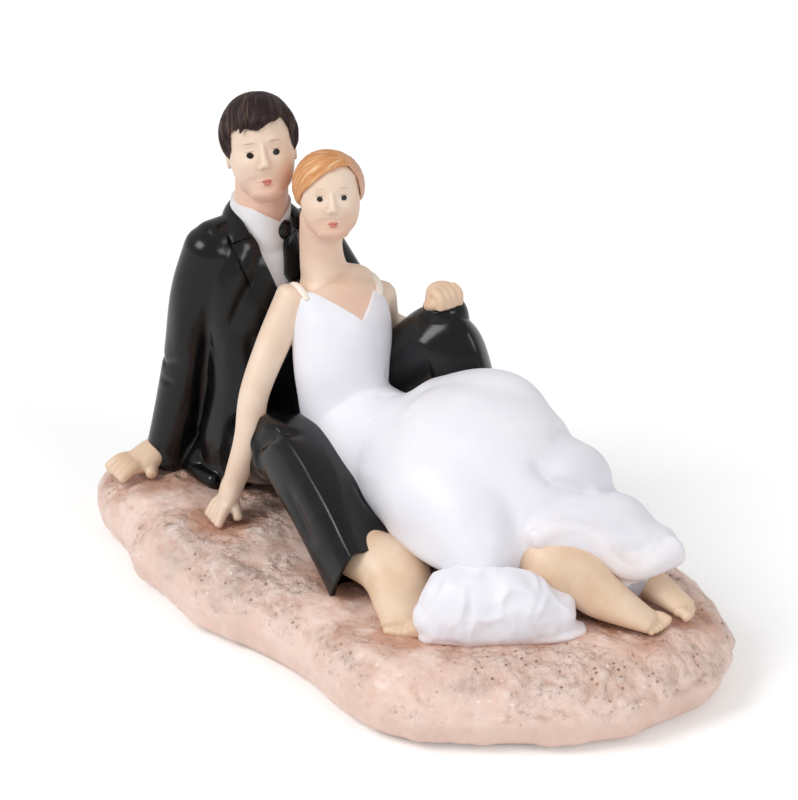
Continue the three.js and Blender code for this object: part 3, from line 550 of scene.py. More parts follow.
# Sizes in mm of the sand's swells, drips, wrinkles and crumbs
SAND_CELL, SAND_EASE = 0.54, 14
SWELL, LUMP = 19, 9
DRIP = (7, 7, 26)
WRINKLE, CRUMBLE = (4.4, 2.6, 2.2), 1.4
PATCH, SPECKLE = 13, 5
SHORE, SHORE_REACH = at(-14, -30, 0), (22, 9, 8)


def sand_base():
    bm = node_copy("sand_base")
    fuse(bm, SAND_CELL, SAND_EASE)
    figures = figure_surface()
    points = points_of(bm.verts)
    near = np.array([figures.find_nearest(p)[3] for p in points])
    drifted = warped(points, 8, (1.3, 5.7, 9.2))
    rough = ramp(grain(points, PATCH, 5.5) + 0.6 * grain(points, SPECKLE, 2.2), -0.5, 0.3)
    wrinkle = 1.4 * grain(drifted, WRINKLE, 4.4)
    fine = grain(drifted, CRUMBLE, 8.8)

    def weather(points, normals):
        calm = 0.15 + 0.85 * ramp(near, 0.5, 5)
        footed = ramp(points[:, 2], 0.4, 3)
        upward = np.clip(normals[:, 2], 0, 1)
        broad = 0.6 * grain(points, SWELL) + 0.45 * grain(points, LUMP, 3.1)
        drip = np.abs(grain(points, DRIP, 2.2)) * (1 - upward)
        crumbs = (0.55 * wrinkle + 0.6 * fine) * (0.25 + 0.75 * upward) * (0.25 + 0.75 * rough)
        lift = 0.6 + broad + crumbs + 1.3 * drip
        return normals * (lift * calm * footed)[:, None]

    sculpt(bm, weather)
    bm.normal_update()
    top = 0.2 + 0.8 * ramp(np.array([v.normal.z for v in bm.verts]), -0.1, 0.8)
    patchy = grain(points, 6, 2.9)
    shore = bump_at(points, SHORE, SHORE_REACH)
    stained = grain(points, 15, 7.7) + 0.4 * grain(points, SPECKLE, 1.9) + 0.5 * shore
    mark(bm, "crumbled", top * (0.3 + 0.7 * rough))
    # Painted shade in the low places between the crumbs, stronger on the top.
    mark(bm, "hollow_shade", (0.45 - 0.5 * wrinkle - 0.4 * fine) * (0.3 + 0.7 * top))
    # Painted highlight on the raised crumbs of the top.
    mark(bm, "ridge", (0.7 * wrinkle + 0.5 * fine) * top)
    mark(bm, "grey", stained * (0.2 + 0.8 * top))
    # Painted shade, reddish brown and patchy, on the sand near the figures.
    mark(bm, "contact_shade", (1 - np.minimum(1, near / 10)) * (0.55 + 0.7 * patchy))
    piece(bm, "sand_base_sculpted", SAND, ["sand_base"])


# Heads

SKULL_CENTRE = np.array((-0.09, 0, 0.13))
SKULL_RADII = np.array((0.4, 0.335, 0.37))


class Head:
    """A head's own frame: front, left and up, in shares of its height. breadth widens it to the sides."""

    def __init__(self, centre, height, yaw, pitch, roll, breadth=1.0):
        turns = ((yaw, "Z"), (-pitch, "Y"), (roll, "X"))
        spin = Matrix.Identity(3)
        for degrees, axis in turns:
            spin = spin @ Matrix.Rotation(math.radians(degrees), 3, axis)
        self.spin = spin
        self.turn = np.array(spin)
        self.centre = centre
        self.height = height
        self.size = height * np.array((1, breadth, 1))
        self.front, self.left, self.up = self.turn.T

    def place(self, front, left, up):
        return self.centre + self.turn @ (np.array((front, left, up), float) * self.size)

    def local(self, points):
        return (points - self.centre) @ self.turn / self.size

    def on_skull(self, direction, lift):
        spot = SKULL_CENTRE + unit(direction) * (SKULL_RADII + lift)
        return self.place(*spot)

    def limb(self, bm, stations, **options):
        rows = []
        for spot, width, *depth in stations:
            rows.append((self.place(*spot), width * self.size[1], *(d * self.height for d in depth)))
        limb(bm, rows, side=self.left, **options)

    def ball(self, bm, centre, radii):
        ball(bm, self.place(*centre), np.array(radii) * self.size, self.spin)


GROOM = Head(at(-40, -2.4, 70.7), 21, -31, 12, 6)
BRIDE = Head(at(-23.5, 2.4, 64.3), 17.1, -31.5, 13, 1, breadth=1.11)


# Stations of a jaw and a nose: a place in the head's frame, a half-width and a half-depth
JAW = [
    ((0, 0, 0.12), 0.315, 0.30), ((0.05, 0, -0.12), 0.305, 0.28), ((0.11, 0, -0.28), 0.262, 0.22),
    ((0.18, 0, -0.385), 0.17, 0.125),
]
NOSE = [((0.25, 0, 0.12), 0.03, 0.05), ((0.32, 0, 0.0), 0.034, 0.05), ((0.37, 0, -0.1), 0.046, 0.045)]
NOSTRIL, NOSTRIL_RADII = (0.335, 0.04, -0.115), (0.03, 0.028, 0.026)
EAR, EAR_RADII = (-0.06, 0.318, -0.05), (0.07, 0.03, 0.1)

# Forms pressed into a face: left, up, half-width, half-height and rise, in shares of the head's height
SOCKET = (0.13, 0.03, 0.08, 0.06, -0.026)
EYEBALL = (0.13, 0.02, 0.05, 0.03, 0.014)
BROW_RIDGE = (0.13, 0.125, 0.09, 0.03, 0.006)
CHEEKBONE = (0.17, -0.1, 0.09, 0.09, 0.012)
UPPER_LIP = (0.04, -0.255, 0.05, 0.02, 0.010)
LOWER_LIP = (0, -0.288, 0.05, 0.018, 0.016)
MOUTH_LINE = (0, -0.268, 0.07, 0.007, -0.014)
UNDER_LIP = (0, -0.33, 0.07, 0.026, -0.012)
CHIN = (0, -0.41, 0.07, 0.05, 0.012)
LIP_GROOVE = (0, -0.2, 0.02, 0.03, -0.008)
PAIRED_FORMS = (SOCKET, EYEBALL, BROW_RIDGE, CHEEKBONE, UPPER_LIP)
MIDDLE_FORMS = (LOWER_LIP, MOUTH_LINE, UNDER_LIP, CHIN, LIP_GROOVE)


def face_form(head, neck=None, ears=True):
    """A calm doll's head: skull, jaw, nose, ears and neck melted together, then the features pressed in."""
    bm = bmesh.new()
    head.ball(bm, SKULL_CENTRE, SKULL_RADII)
    head.limb(bm, JAW)
    head.limb(bm, NOSE, sides=24, rings=20)
    for sign in (-1, 1):
        aside = np.array((1, sign, 1))
        head.ball(bm, NOSTRIL * aside, NOSTRIL_RADII)
        if ears:
            head.ball(bm, EAR * aside, EAR_RADII)
    if neck:
        limb(bm, neck, side=head.left)
    fuse(bm, 0.0085 * head.height, 9)

    def features(points, normals):
        spots = head.local(points)
        facing = ramp(spots[:, 0], 0.12, 0.22)
        flat = spots * (0, 1, 1)
        push = np.zeros(len(points))
        for forms, signs in ((PAIRED_FORMS, (-1, 1)), (MIDDLE_FORMS, (1,))):
            for left, up, wide, high, rise in forms:
                for sign in signs:
                    push += rise * bump_at(flat, (0, sign * left, up), (1, wide, high))
        return (push * facing)[:, None] * head.front * head.height

    sculpt(bm, features)
    if ears:
        def cup(points, normals):
            spots = head.local(points)
            dish = bump_at(spots * (1, 0, 1), (-0.055, 0, -0.045), (0.03, 1, 0.05))
            outer = ramp(np.abs(spots[:, 1]), 0.315, 0.345)
            return normals * (-0.02 * head.height * dish * outer)[:, None]

        sculpt(bm, cup)
    # Pink blush paint on the cheeks, and pink painted shade over the lower face and the neck under the
    # chin.
    spots = head.local(points_of(bm.verts))
    cheeks = sum(bump_at(spots, (0.25, y, -0.16), (0.2, 0.12, 0.09)) for y in (-0.18, 0.18))
    mark(bm, "blush_and_shade", 0.25 * cheeks + 0.6 * ramp(-spots[:, 2], 0.12, 0.36))
    return bm


def oval(wide, high, pointed=1.0, count=28):
    """A convex outline: an oval, or an almond where pointed is under 1."""
    turns = [2 * math.pi * k / count for k in range(count)]
    rises = [math.copysign(abs(math.sin(a)) ** (1 / pointed), math.sin(a)) for a in turns]
    return [(wide * math.cos(a), high * rise) for a, rise in zip(turns, rises)]


DAB = 0.07


def painted(head, surface, name, middle, outline, material, lift, tilt=0.0):
    """Lays a dab of paint on a face. Middle and outline are (left, up), in shares of the head's height."""
    turn = math.radians(tilt)
    right = head.left * math.cos(turn) + head.up * math.sin(turn)
    up = head.up * math.cos(turn) - head.left * math.sin(turn)
    origin = head.place(0.3, *middle)
    size = [(u * head.height, v * head.height) for u, v in outline]
    bm = lay(surface, origin, right, up, head.front, size, 0.012 * head.height, lift)
    piece(bm, name, material, modifiers=[("SOLIDIFY", {"thickness": DAB * MM, "offset": 0})])


def paint_face(head, bm, who, brow, eyes, apart, mouth=1.0):
    """Eyes, brows and lips as a plain doll has them: eyes is their height, apart half the space between."""
    surface = BVHTree.FromBMesh(bm)
    for sign, side in ((-1, "right"), (1, "left")):
        for name, up, shape, paint, lift, tilt in (
            ("eye_white", eyes, oval(0.046, 0.02, 0.8), EYE_WHITE, 0.02, 0),
            ("eye_dot", eyes, oval(0.033, 0.028), EYE_DARK, 0.06, 0),
            ("lash_line", eyes + 0.034, oval(0.046, 0.004), LASH, 0.04, -2),
            ("brow", eyes + 0.115, oval(0.055, 0.006), brow, 0.02, -3),
        ):
            middle = (sign * apart, up)
            painted(head, surface, f"{who}_{side}_{name}", middle, shape, paint, lift, tilt * sign)
    for lip, up, wide, high in (("upper_lip", -0.256, 0.046, 0.015), ("lower_lip", -0.279, 0.036, 0.019)):
        shape = oval(wide * mouth, high * mouth)
        painted(head, surface, f"{who}_{lip}", (0, up), shape, LIPS, 0.05)


def lock(bm, head, start, end, wide, thick, lift, tail=0.4):
    """Adds a lock of hair that lies on the skull from one direction to another and thins to its end."""
    a, b = unit(start), unit(end)
    reach = math.acos(max(-1, min(1, a @ b)))
    stations = []
    for k in range(6):
        w = k / 5
        way = (a * math.sin((1 - w) * reach) + b * math.sin(w * reach)) / math.sin(reach)
        full = 0.55 + 0.45 * math.sin(math.pi * min(1, 0.15 + w * 0.8)) if w < 1 else tail
        stations.append((head.on_skull(way, lift), wide * full * head.height, thick * full * head.height))
    limb(bm, stations, side=head.turn @ unit(np.cross(a, b)), sides=16, rings=18)


def hair_cap(head, grow, hairline, underline):
    """The skull grown by a share, opened to the face inside the hairline and cut away under the ears.

    The hairline is an outline of (left, up) and the underline one of (front, up).
    """
    bm = bmesh.new()
    head.ball(bm, SKULL_CENTRE, SKULL_RADII + grow)
    scaled = [(u * head.size[1], v * head.height) for u, v in hairline]
    carve(bm, prism(scaled, head.centre, head.left, head.up, head.front, 0.02 * head.height, head.height))
    scaled = [(u * head.height, v * head.height) for u, v in underline]
    carve(bm, prism(scaled, head.centre, head.front, head.up, head.left, -head.height, head.height))
    return bm


def strands(bm, head, crown, count, depth):
    """Scores fine strands that run out from the crown into the hair."""
    axis = unit(crown)
    aside = unit(np.cross(axis, (0, 1, 0.2)))
    third = np.cross(axis, aside)

    def score(points, normals):
        spots = (head.local(points) - SKULL_CENTRE) / SKULL_RADII
        angle = np.arctan2(spots @ aside, spots @ third)
        out = np.arccos(np.clip(spots @ axis / np.linalg.norm(spots, axis=1), -1, 1))
        rows = np.stack([np.cos(angle) * count / 6, np.sin(angle) * count / 6, out * 1.6], 1)
        height = np.array([noise.noise(r) for r in rows.tolist()])
        mark(bm, "strand", height)
        # The far side, which takes a pale painted sheen on blond hair.
        mark(bm, "far_side_sheen", ramp(spots[:, 1], 0.35, 0.95))
        return normals * (depth * height)[:, None]

    sculpt(bm, score)


# Where the hair starts over the face, as (left, up), and over the ears and nape, as (front, up)
GROOM_HAIRLINE = [
    (-0.3, -0.1), (-0.285, 0.22), (-0.2, 0.28), (-0.1, 0.25), (-0.02, 0.23), (0.08, 0.28), (0.22, 0.34),
    (0.285, 0.2), (0.305, -0.1), (0.5, -0.16), (0.5, -0.9), (-0.5, -0.9), (-0.5, -0.16),
]
GROOM_NAPE = [
    (0.6, -0.14), (0.0, -0.14), (-0.05, -0.06), (-0.17, -0.08), (-0.24, -0.26), (-0.45, -0.3), (-0.5, -0.9),
    (0.6, -0.9),
]
BRIDE_HAIRLINE = [
    (-0.32, 0.0), (-0.3, 0.1), (-0.2, 0.22), (-0.05, 0.335), (0.1, 0.39), (0.2, 0.38), (0.28, 0.28),
    (0.31, 0.1), (0.32, -0.06), (0.5, -0.1), (0.5, -0.9), (-0.5, -0.9), (-0.5, 0.0),
]
BRIDE_NAPE = [(0.6, 0.0), (0.0, 0.0), (-0.2, -0.16), (-0.5, -0.26), (-0.55, -0.9), (0.6, -0.9)]
# Directions from the skull's centre
CROWN, FORELOCK = (-0.45, 0.12, 0.88), (-0.35, 0.1, 0.9)
PARTING, KNOT = (0.45, 0.42, 0.79), (-0.95, 0, -0.3)


def groom_head():
    head = GROOM
    bm = face_form(head, neck=[
        (head.place(-0.08, 0, -0.05), 5.3), (at(-40.4, -2.2, 61), 5.4), (at(-41.4, -2.6, 51), 5.5),
    ])
    piece(bm, "groom_head_and_neck", SKIN, ["groom_head"])
    paint_face(head, bm, "groom", BROW_BROWN, 0.005, 0.124)

    hair = hair_cap(head, 0.028, GROOM_HAIRLINE, GROOM_NAPE)
    for k in range(19):
        around = math.radians(72 + 216 * k / 18)
        drop = math.radians(-24 - 14 * math.sin(math.pi * k / 18))
        end = (math.cos(around) * math.cos(drop), math.sin(around) * math.cos(drop), math.sin(drop))
        lock(hair, head, CROWN, end, 0.085, 0.036, 0.016)
    for k in range(9):
        around = math.radians(-78 + 156 * k / 8)
        end = (0.8 * math.cos(around), 0.9 * math.sin(around), 0.5)
        lock(hair, head, FORELOCK, end, 0.09, 0.036, 0.02)
    for k in range(8):
        w = k / 7
        start = (0.55 - 0.45 * w, 0.55 - 0.35 * w, 0.62 + 0.3 * w)
        end = (0.86 - 0.1 * w, 0.3 - 0.9 * w, 0.42 - 0.24 * w + 0.12 * (k % 2))
        lock(hair, head, start, end, 0.05, 0.034, 0.042, tail=0.2)
    for left in (-1, 1):
        lock(hair, head, (0.2, 0.75 * left, 0.55), (0.46, 0.85 * left, 0.05), 0.05, 0.03, 0.03)
        lock(hair, head, (0.1, 0.8 * left, 0.4), (0.34, 0.92 * left, -0.4), 0.045, 0.028, 0.03, tail=0.3)
    fuse(hair, 0.2, 3)
    strands(hair, head, CROWN, 130, 0.1)
    piece(hair, "groom_hair_combed", BROWN_HAIR, ["groom_hair"])


def bride_head():
    head = BRIDE
    bm = face_form(head, ears=False)
    piece(bm, "bride_head_painted", SKIN, ["bride_head"])
    paint_face(head, bm, "bride", BROW_BLOND, 0.034, 0.125, mouth=1.25)

    hair = hair_cap(head, 0.035, BRIDE_HAIRLINE, BRIDE_NAPE)
    for k in range(8):
        w = k / 7
        end = (0.6 - 0.5 * w, -0.75 - 0.2 * w, 0.34 - 0.36 * w)
        lock(hair, head, (0.5 - 0.55 * w, 0.42 - 0.25 * w, 0.85), end, 0.085, 0.045, 0.025)
    for k in range(6):
        w = k / 5
        end = (0.34 - 0.5 * w, 0.93, 0.15 - 0.5 * w)
        lock(hair, head, (0.3 - 0.45 * w, 0.5, 0.8), end, 0.075, 0.035, 0.015)
    for k in range(13):
        around = math.radians(-105 + 210 * k / 12)
        start = (0.12 + 0.2 * math.cos(around), math.sin(around), max(-0.45, 0.9 * math.cos(around)))
        lock(hair, head, start, KNOT, 0.1, 0.04, 0.02)
    head.ball(hair, (-0.5, 0, -0.02), (0.15, 0.19, 0.17))
    for k in range(7):
        turn = 2 * math.pi * k / 7
        coil = []
        for back, wide, high, twist, thick in (
            (-0.5, 0.14, 0.13, 0, 0.05), (-0.6, 0.12, 0.11, 0.7, 0.055), (-0.65, 0.03, 0.03, 1.6, 0.04),
        ):
            spot = (back, wide * math.cos(turn + twist), -0.02 + high * math.sin(turn + twist))
            coil.append((spot, thick))
        head.limb(hair, coil, sides=16, rings=14)
    fuse(hair, 0.18, 3)
    strands(hair, head, PARTING, 90, 0.08)
    piece(hair, "bride_hair_swept", BLOND_HAIR, ["bride_hair"])


# Hands and feet

def hand(bm, wrist, knuckles, tips, thumb, palm, finger, side):
    """Adds a hand: palm, thumb and four fingers between the outer and inner knuckles and tips."""
    knuckles, tips = np.array(knuckles), np.array(tips)
    middle = knuckles.mean(0)
    heel = (wrist + middle) / 2
    limb(bm, [(wrist, palm * 0.72), (heel, palm, palm * 0.68), (middle, palm, palm * 0.5)], side=side,
         sides=32, rings=20)
    limb(bm, [(heel, finger * 1.25), ((heel + thumb) / 2, finger * 1.2), (thumb, finger)], side=side,
         sides=20, rings=16)
    for n in range(4):
        knuckle = knuckles[0] + (knuckles[1] - knuckles[0]) * (0.1 + 0.267 * n)
        tip = tips[0] + (tips[1] - tips[0]) * n / 3
        bend = (knuckle + tip) / 2 + UP * finger * 0.6
        limb(bm, [(knuckle, finger * 1.15), (bend, finger * 1.1), (tip, finger * 0.92)], side=side,
             sides=20, rings=16)


def groom_hands():
    right, left = bmesh.new(), bmesh.new()
    knuckles = places((-52.6, -25, 2), (-57.8, -24.4, 2.2))
    tips = places((-53, -30.4, 0.8), (-59, -29.6, 0.8))
    hand(right, RIGHT_WRIST, knuckles, tips, at(-50.4, -24.6, 1), 4.1, 1.25, unit(-0.98, 0.12, 0))
    fist = line((-6.2, 17, 41.6, 3.1), (-5.8, 16.9, 44.4, 3.5), (-5.6, 16.8, 46.2, 3.4))
    limb(left, fist, sides=32, rings=20)
    thumb = line((-6.4, 13.9, 44, 1.2), (-4.4, 13.6, 45, 1.2), (-3, 14.4, 45.4, 1.0))
    for n in range(4):
        aside = 14.2 + 1.5 * n
        finger = line((-5, aside, 47.2, 1.1), (-3.2, aside, 46.4, 1.1), (-2.9, aside, 44.4, 1.0))
        limb(left, finger, sides=20, rings=14)
    limb(left, thumb, sides=20, rings=14)
    for bm, side, ease in ((right, "right", 14), (left, "left", 9)):
        fuse(bm, 0.2, ease)
        piece(bm, f"groom_{side}_hand_shaped", TANNED, [f"groom_{side}_hand"])


# Sizes of the five toes and how far each stands back, in shares of the big toe's size
TOE_SIZES = (1, 0.72, 0.68, 0.64, 0.56)
TOE_BACKS = (0, 0.15, 0.4, 0.8, 1.3)
SOLE = 1.2


def toes(bm, tip, forward, side, big, spread):
    """Adds five toes across the end of a foot, the big one towards the side direction."""
    forward = unit(forward)
    for n, (share, behind) in enumerate(zip(TOE_SIZES, TOE_BACKS)):
        size, back = big * share, behind * big
        root = tip + side * spread * (1 - n / 2) - forward * (back + big * 2) + UP * size * 0.4
        end = tip + side * spread * 0.9 * (1 - n / 2) - forward * back + UP * (size - SOLE)
        limb(bm, [(root, size * 0.95), ((root + end) / 2 + UP * size * 0.25, size * 0.9), (end, size)],
             side=side, sides=20, rings=14)


RIGHT_FOOT = places((11, -18.6, 7), (21.4, -16.6, 5.8), (28.6, -20.6, 3), (33, -24, 1.6))
LEFT_FOOT = places((9, 22.3, 6.4), (16.5, 25, 4.6), (22.5, 27, 2.6), (27, 28.4, 1.5))
FOOT_GIRTHS = [(5.2,), (6.8, 5), (5.2, 3), (3.7, 1.8)]


def groom_feet():
    for name, way, side, inner in (
        ("right", RIGHT_FOOT, unit(0.5, 0.86, 0), 1), ("left", LEFT_FOOT, unit(-0.3, 0.95, 0), -1),
    ):
        bm = bmesh.new()
        limb(bm, [(spot, *girth) for spot, girth in zip(way, FOOT_GIRTHS)], side=side)
        end = way[3] - way[2]
        toes(bm, way[3] + unit(end) * 2.6, end * (1, 1, 0), side * inner, 1.5, 2.8)
        fuse(bm, 0.24, 4)
        piece(bm, f"groom_{name}_foot_shaped", TANNED, [f"groom_{name}_foot"])


def bride_legs():
    right, left = bmesh.new(), bmesh.new()
    side = unit(-0.5, 0.86, 0)
    limb(right, line(
        (36, 3, 11.6, 5), (44.6, 3.4, 10.2, 6), (47.6, 6.4, 9.2, 5.9), (52.4, 8.8, 5.6, 4.7),
        (58, 11.8, 3.1, 3.9, 2.8), (61.4, 13.8, 1.7, 3.4, 1.6),
    ), side=side)
    toes(right, at(63.6, 15.2, 1.3), (4.4, 2.6, 0), side, 1.2, 2.4)
    side = unit(-0.2, 0.98, 0)
    limb(left, line(
        (42, 18.4, 8, 3.8), (49, 20.6, 5, 3.5), (55.5, 22, 3.2, 3.2, 2.72), (61, 22.9, 1.6, 2.8, 1.5),
    ), side=side)
    toes(left, at(63.2, 23.2, 1.3), (6, 1, 0), -side, 1.15, 2.1)
    for bm, node in ((right, "bride_right_leg"), (left, "bride_left_foot")):
        fuse(bm, 0.22, 4)
        piece(bm, f"{node}_shaped", TANNED, [node])


# Groom's suit

TORSO = line(
    (-41, -2, -3, 14, 12), (-41, -2, 8, 14.4, 12.5), (-40.5, -2, 22, 12.6, 10.8),
    (-41.3, -2, 37, 14.2, 11.6), (-42.3, -2.3, 49.3, 14.2, 9.4), (-42, -2.8, 55.5, 7.2, 7.2),
)
GROOM_CHEST = at(-41, -2, 40)
RIGHT_WRIST = at(-54.2, -18.4, 4.2)
LEFT_CUFF = at(-5.8, 17, 43.9)
OPENING_MIDDLE = 1.3
OPENING = [(OPENING_MIDDLE, -3.5), (OPENING_MIDDLE + 10, 25.5), (OPENING_MIDDLE - 10, 25.5)]
LAPEL_LEAF = [(0.2, -4.4), (2, -6.6), (7.5, 3.6), (9.9, 9.7), (10.8, 14.4), (6.2, 14.9)]
CLOTH, TIE_CLOTH, TROUSER_CLOTH = 0.9, 1.2, 0.8
COAT_CELL, SHIRT_CELL = 0.42, 0.32
COLLAR_MIDDLE, COLLAR_TOP, COLLAR_FRONT = at(-40.5, -2.3, 0), at(-40.5, -2.3, 60.4), 8.8
COLLAR_NOTCH = [(1.6, 56.8), (6.8, 60.6), (6.8, 72), (-4.8, 72), (-4.8, 60.6)]
KNOT_ASIDE, KNOT_HIGH, KNOT_RADII = 2.5, 14.8, (2.0, 1.4, 2.1)
TIE_BLADE = [(2.0, 4), (5.0, 6.2), (4.5, 13.8), (2.1, 13.8), (0.9, 6.2)]


def beside_opening(outline, way):
    """An outline beside the coat's opening, on the groom's left where way is 1 and right where it is -1."""
    turned = [(OPENING_MIDDLE + way * u, v) for u, v in outline]
    return turned if way > 0 else turned[::-1]


def groom_coat():
    bm = bmesh.new()
    limb(bm, TORSO, side=GROOM_LEFT, sides=64, rings=48, dome=0.25)
    right_sleeve = line(
        (-42.6, -12.6, 50.8, 6.3), (-44.6, -15, 42, 5.9), (-48.6, -15.4, 26, 5.4), (-53.6, -17.4, 5, 4.9),
        (-54.4, -17.7, 2.2, 5.1),
    )
    limb(bm, right_sleeve, dome=0.15, start_dome=0.8)
    right_shoulder = line((-42, -4, 53, 5), (-42.8, -12.4, 51.4, 5.6))
    limb(bm, right_shoulder)
    right_chest = line(
        (-39.4, -8, 52, 4.4), (-39.4, -11, 46.5, 5.4), (-39.8, -12.2, 38, 4.4), (-40.6, -11.2, 25, 2.6),
    )
    limb(bm, right_chest)
    left_sleeve = line(
        (-41, 9, 50, 6.2), (-34, 13.5, 38, 5.8), (-21, 15.6, 26.4, 5.3), (-12.4, 16.4, 33.6, 4.7),
        (-5.9, 17.7, 39.2, 5),
    )
    limb(bm, left_sleeve + [(LEFT_CUFF, 4.1)], side=UP, dome=0.15, start_dome=0.8)
    coat_tail = line((-44, -8, 5, 6), (-47, -13, 3, 4.6), (-49.5, -15, 1.5, 2.6))
    limb(bm, coat_tail)
    tail_hem = line((-48, -16.4, 1.6, 1.5), (-43.4, -17, 1.6, 1.6), (-38.8, -16.6, 1.6, 1.4))
    limb(bm, tail_hem)
    fuse(bm, COAT_CELL, 9)
    folds(bm, [
        (places((-36, -14.5, 44), (-35.5, -15.5, 30), (-37, -16, 10)), 2.0, 0.9),
        (places((-32, -11.5, 34), (-31.5, -12.5, 20), (-34, -14.5, 8)), 1.4, -0.8),
        (places((-42.5, -16, 33.5), (-44.5, -15.5, 20), (-47.5, -14.5, 8)), 1.0, -0.9),
        (places((-42, -20.6, 42), (-45, -20.4, 30)), 2.2, 0.5),
        (places((-45, -21, 27), (-50, -20.8, 25.5), (-54, -18, 27)), 0.9, -0.5),
        (places((-47, -21, 22), (-51, -20.8, 21.5)), 0.8, -0.4),
        (places((-53, -14, 42), (-54, -6, 34), (-53, 4, 31)), 1.3, -0.6),
        (places((-53, 10, 44), (-53.5, 2, 26), (-54, -6, 18)), 1.5, -0.5),
        (places((-24, 18, 32.5), (-20, 21, 27), (-21, 18, 22)), 0.9, -0.6),
        (places((-27, 17, 35), (-25, 20.5, 29), (-26, 18, 25)), 0.8, -0.45),
    ])

    def tailored(points, normals):
        """A flared hem with a turned edge, and a seam and vent down the middle of the back."""
        aside = (points - GROOM_CHEST) @ GROOM_LEFT
        height = points[:, 2] - SAND_TOP
        behind = ramp(-normals @ GROOM_FRONT, 0.3, 0.7)
        seam = -0.3 * np.exp(-(aside / 0.45) ** 2) * (1 + ramp(-height, -16, -12))
        flare = 0.9 * np.exp(-((height - 1.5) / 2.2) ** 2) * (0.5 + grain(points, 7, 6.1))
        return normals * (seam * behind + flare)[:, None]

    sculpt(bm, tailored)
    surface = BVHTree.FromBMesh(bm)
    carve(bm, prism(OPENING, GROOM_CHEST, *GROOM_AXES, 0, 20))
    thighs = line((-26.5, -26, -3, 8), (-27.5, -8, -4, 9), (-26.5, 8, -3, 8))
    scoop(bm, thighs, side=UP)
    scoop(bm, [(LEFT_CUFF - np.array((0.8, 0, 2.5)), 3.3), (LEFT_CUFF + np.array((1.6, 0, 6)), 3.6)])
    nodes = ["groom_jacket", "groom_right_sleeve", "groom_left_sleeve"]
    piece(bm, "groom_coat", BLACK, nodes)
    rounded = [
        ("SOLIDIFY", {"thickness": CLOTH * MM, "offset": 0.6}),
        ("BEVEL", {"width": 0.25 * MM, "segments": 2, "limit_method": "ANGLE"}),
    ]
    for way, name in ((-1, "right"), (1, "left")):
        outline = beside_opening(LAPEL_LEAF, way)
        leaf = lay(surface, GROOM_CHEST, *GROOM_AXES, outline, 0.7, 0.1)
        piece(leaf, f"jacket_{name}_lapel_leaf", BLACK, [f"jacket_{name}_lapel"], rounded)
    collar = bmesh.new()
    limb(collar, collar_stations(), sides=24, rings=80, dome=0.2)
    piece(collar, "jacket_collar", BLACK)


def collar_stations():
    """The coat's collar from the right lapel round the neck to the left one.

    A row is aside and high from the chest, back from the chest's front, a half-width and the way it leans.
    """
    right = [
        (-7.4, 14.6, 2.4, 2.2, -GROOM_LEFT - UP * 0.1),
        (-7.6, 16, 4.6, 2.1, -GROOM_LEFT - UP * 0.5),
        (-7.3, 17.2, 8.6, 2, -GROOM_LEFT * 0.8 - UP * 0.9),
        (-5.2, 18, 12.8, 1.9, -GROOM_LEFT * 0.5 - UP - GROOM_FRONT * 0.4),
    ]
    behind = [(-0.4, 18.3, 15.2, 1.9, -UP - GROOM_FRONT * 0.6)]
    left = []
    for aside, high, back, wide, lean in reversed(right):
        left.append((-0.8 - aside, high, back, wide, lean - 2 * GROOM_LEFT * (lean @ GROOM_LEFT)))
    stations = []
    for aside, high, back, wide, lean in right + behind + left:
        spot = GROOM_CHEST + GROOM_LEFT * aside + UP * high + GROOM_FRONT * (COLLAR_FRONT - back)
        stations.append((spot, wide, 0.6, lean))
    return stations


def groom_shirt_and_tie():
    bm = bmesh.new()
    chest = [(spot, width - CLOTH, depth - CLOTH) for spot, width, depth in TORSO[2:]]
    limb(bm, chest, side=GROOM_LEFT, sides=64, rings=48, dome=0.2)
    collar = line(
        (-41.5, -2.4, 44, 6), (-41.2, -2.6, 53, 6.8), (-40.8, -2.4, 57, 6.3), (-40.5, -2.3, 60, 6.1),
        (-40.3, -2.2, 64, 6),
    )
    limb(bm, collar, side=GROOM_LEFT, sides=64, rings=60)
    fuse(bm, SHIRT_CELL, 7)
    folds(bm, [
        (places((-30, -6, 50), (-29.5, -5, 42)), 0.7, 0.3),
        (places((-31, 0, 53), (-29, -1, 42)), 0.35, -0.25),
    ])
    rim = cut_off(bm, COLLAR_TOP, unit(GROOM_FRONT * 0.1 + UP))
    bmesh.ops.edgeloop_fill(bm, edges=rim)
    carve(bm, prism(COLLAR_NOTCH, COLLAR_MIDDLE, *GROOM_AXES, 0, 14))
    piece(bm, "groom_shirt_and_collar", SHIRT, ["groom_shirt"])
    surface = BVHTree.FromBMesh(bm)
    blade = lay(surface, GROOM_CHEST, *GROOM_AXES, TIE_BLADE, 0.5, 0.1)
    piece(blade, "groom_tie_blade", BLACK, ["groom_tie"], [
        ("SOLIDIFY", {"thickness": TIE_CLOTH * MM, "offset": 1}),
        ("BEVEL", {"width": 0.45 * MM, "segments": 3, "limit_method": "ANGLE"}),
    ])
    knot = bmesh.new()
    spot, _ = touch(surface, GROOM_CHEST + GROOM_LEFT * KNOT_ASIDE + UP * KNOT_HIGH, GROOM_FRONT)
    ball(knot, spot, KNOT_RADII, Matrix((GROOM_LEFT, GROOM_FRONT, UP)).transposed())
    piece(knot, "groom_tie_knot", BLACK)


CREASE = 1.3


def creased(t, angle):
    """A trouser leg pressed to a front crease: facets meet in a ridge on top, the underside stays round."""
    tent = (np.abs(np.cos(angle)) ** CREASE + np.abs(np.sin(angle)) ** CREASE) ** (-1 / CREASE)
    return (tent - 1) * ramp(np.sin(angle), -0.6, 0.4) + 0.06


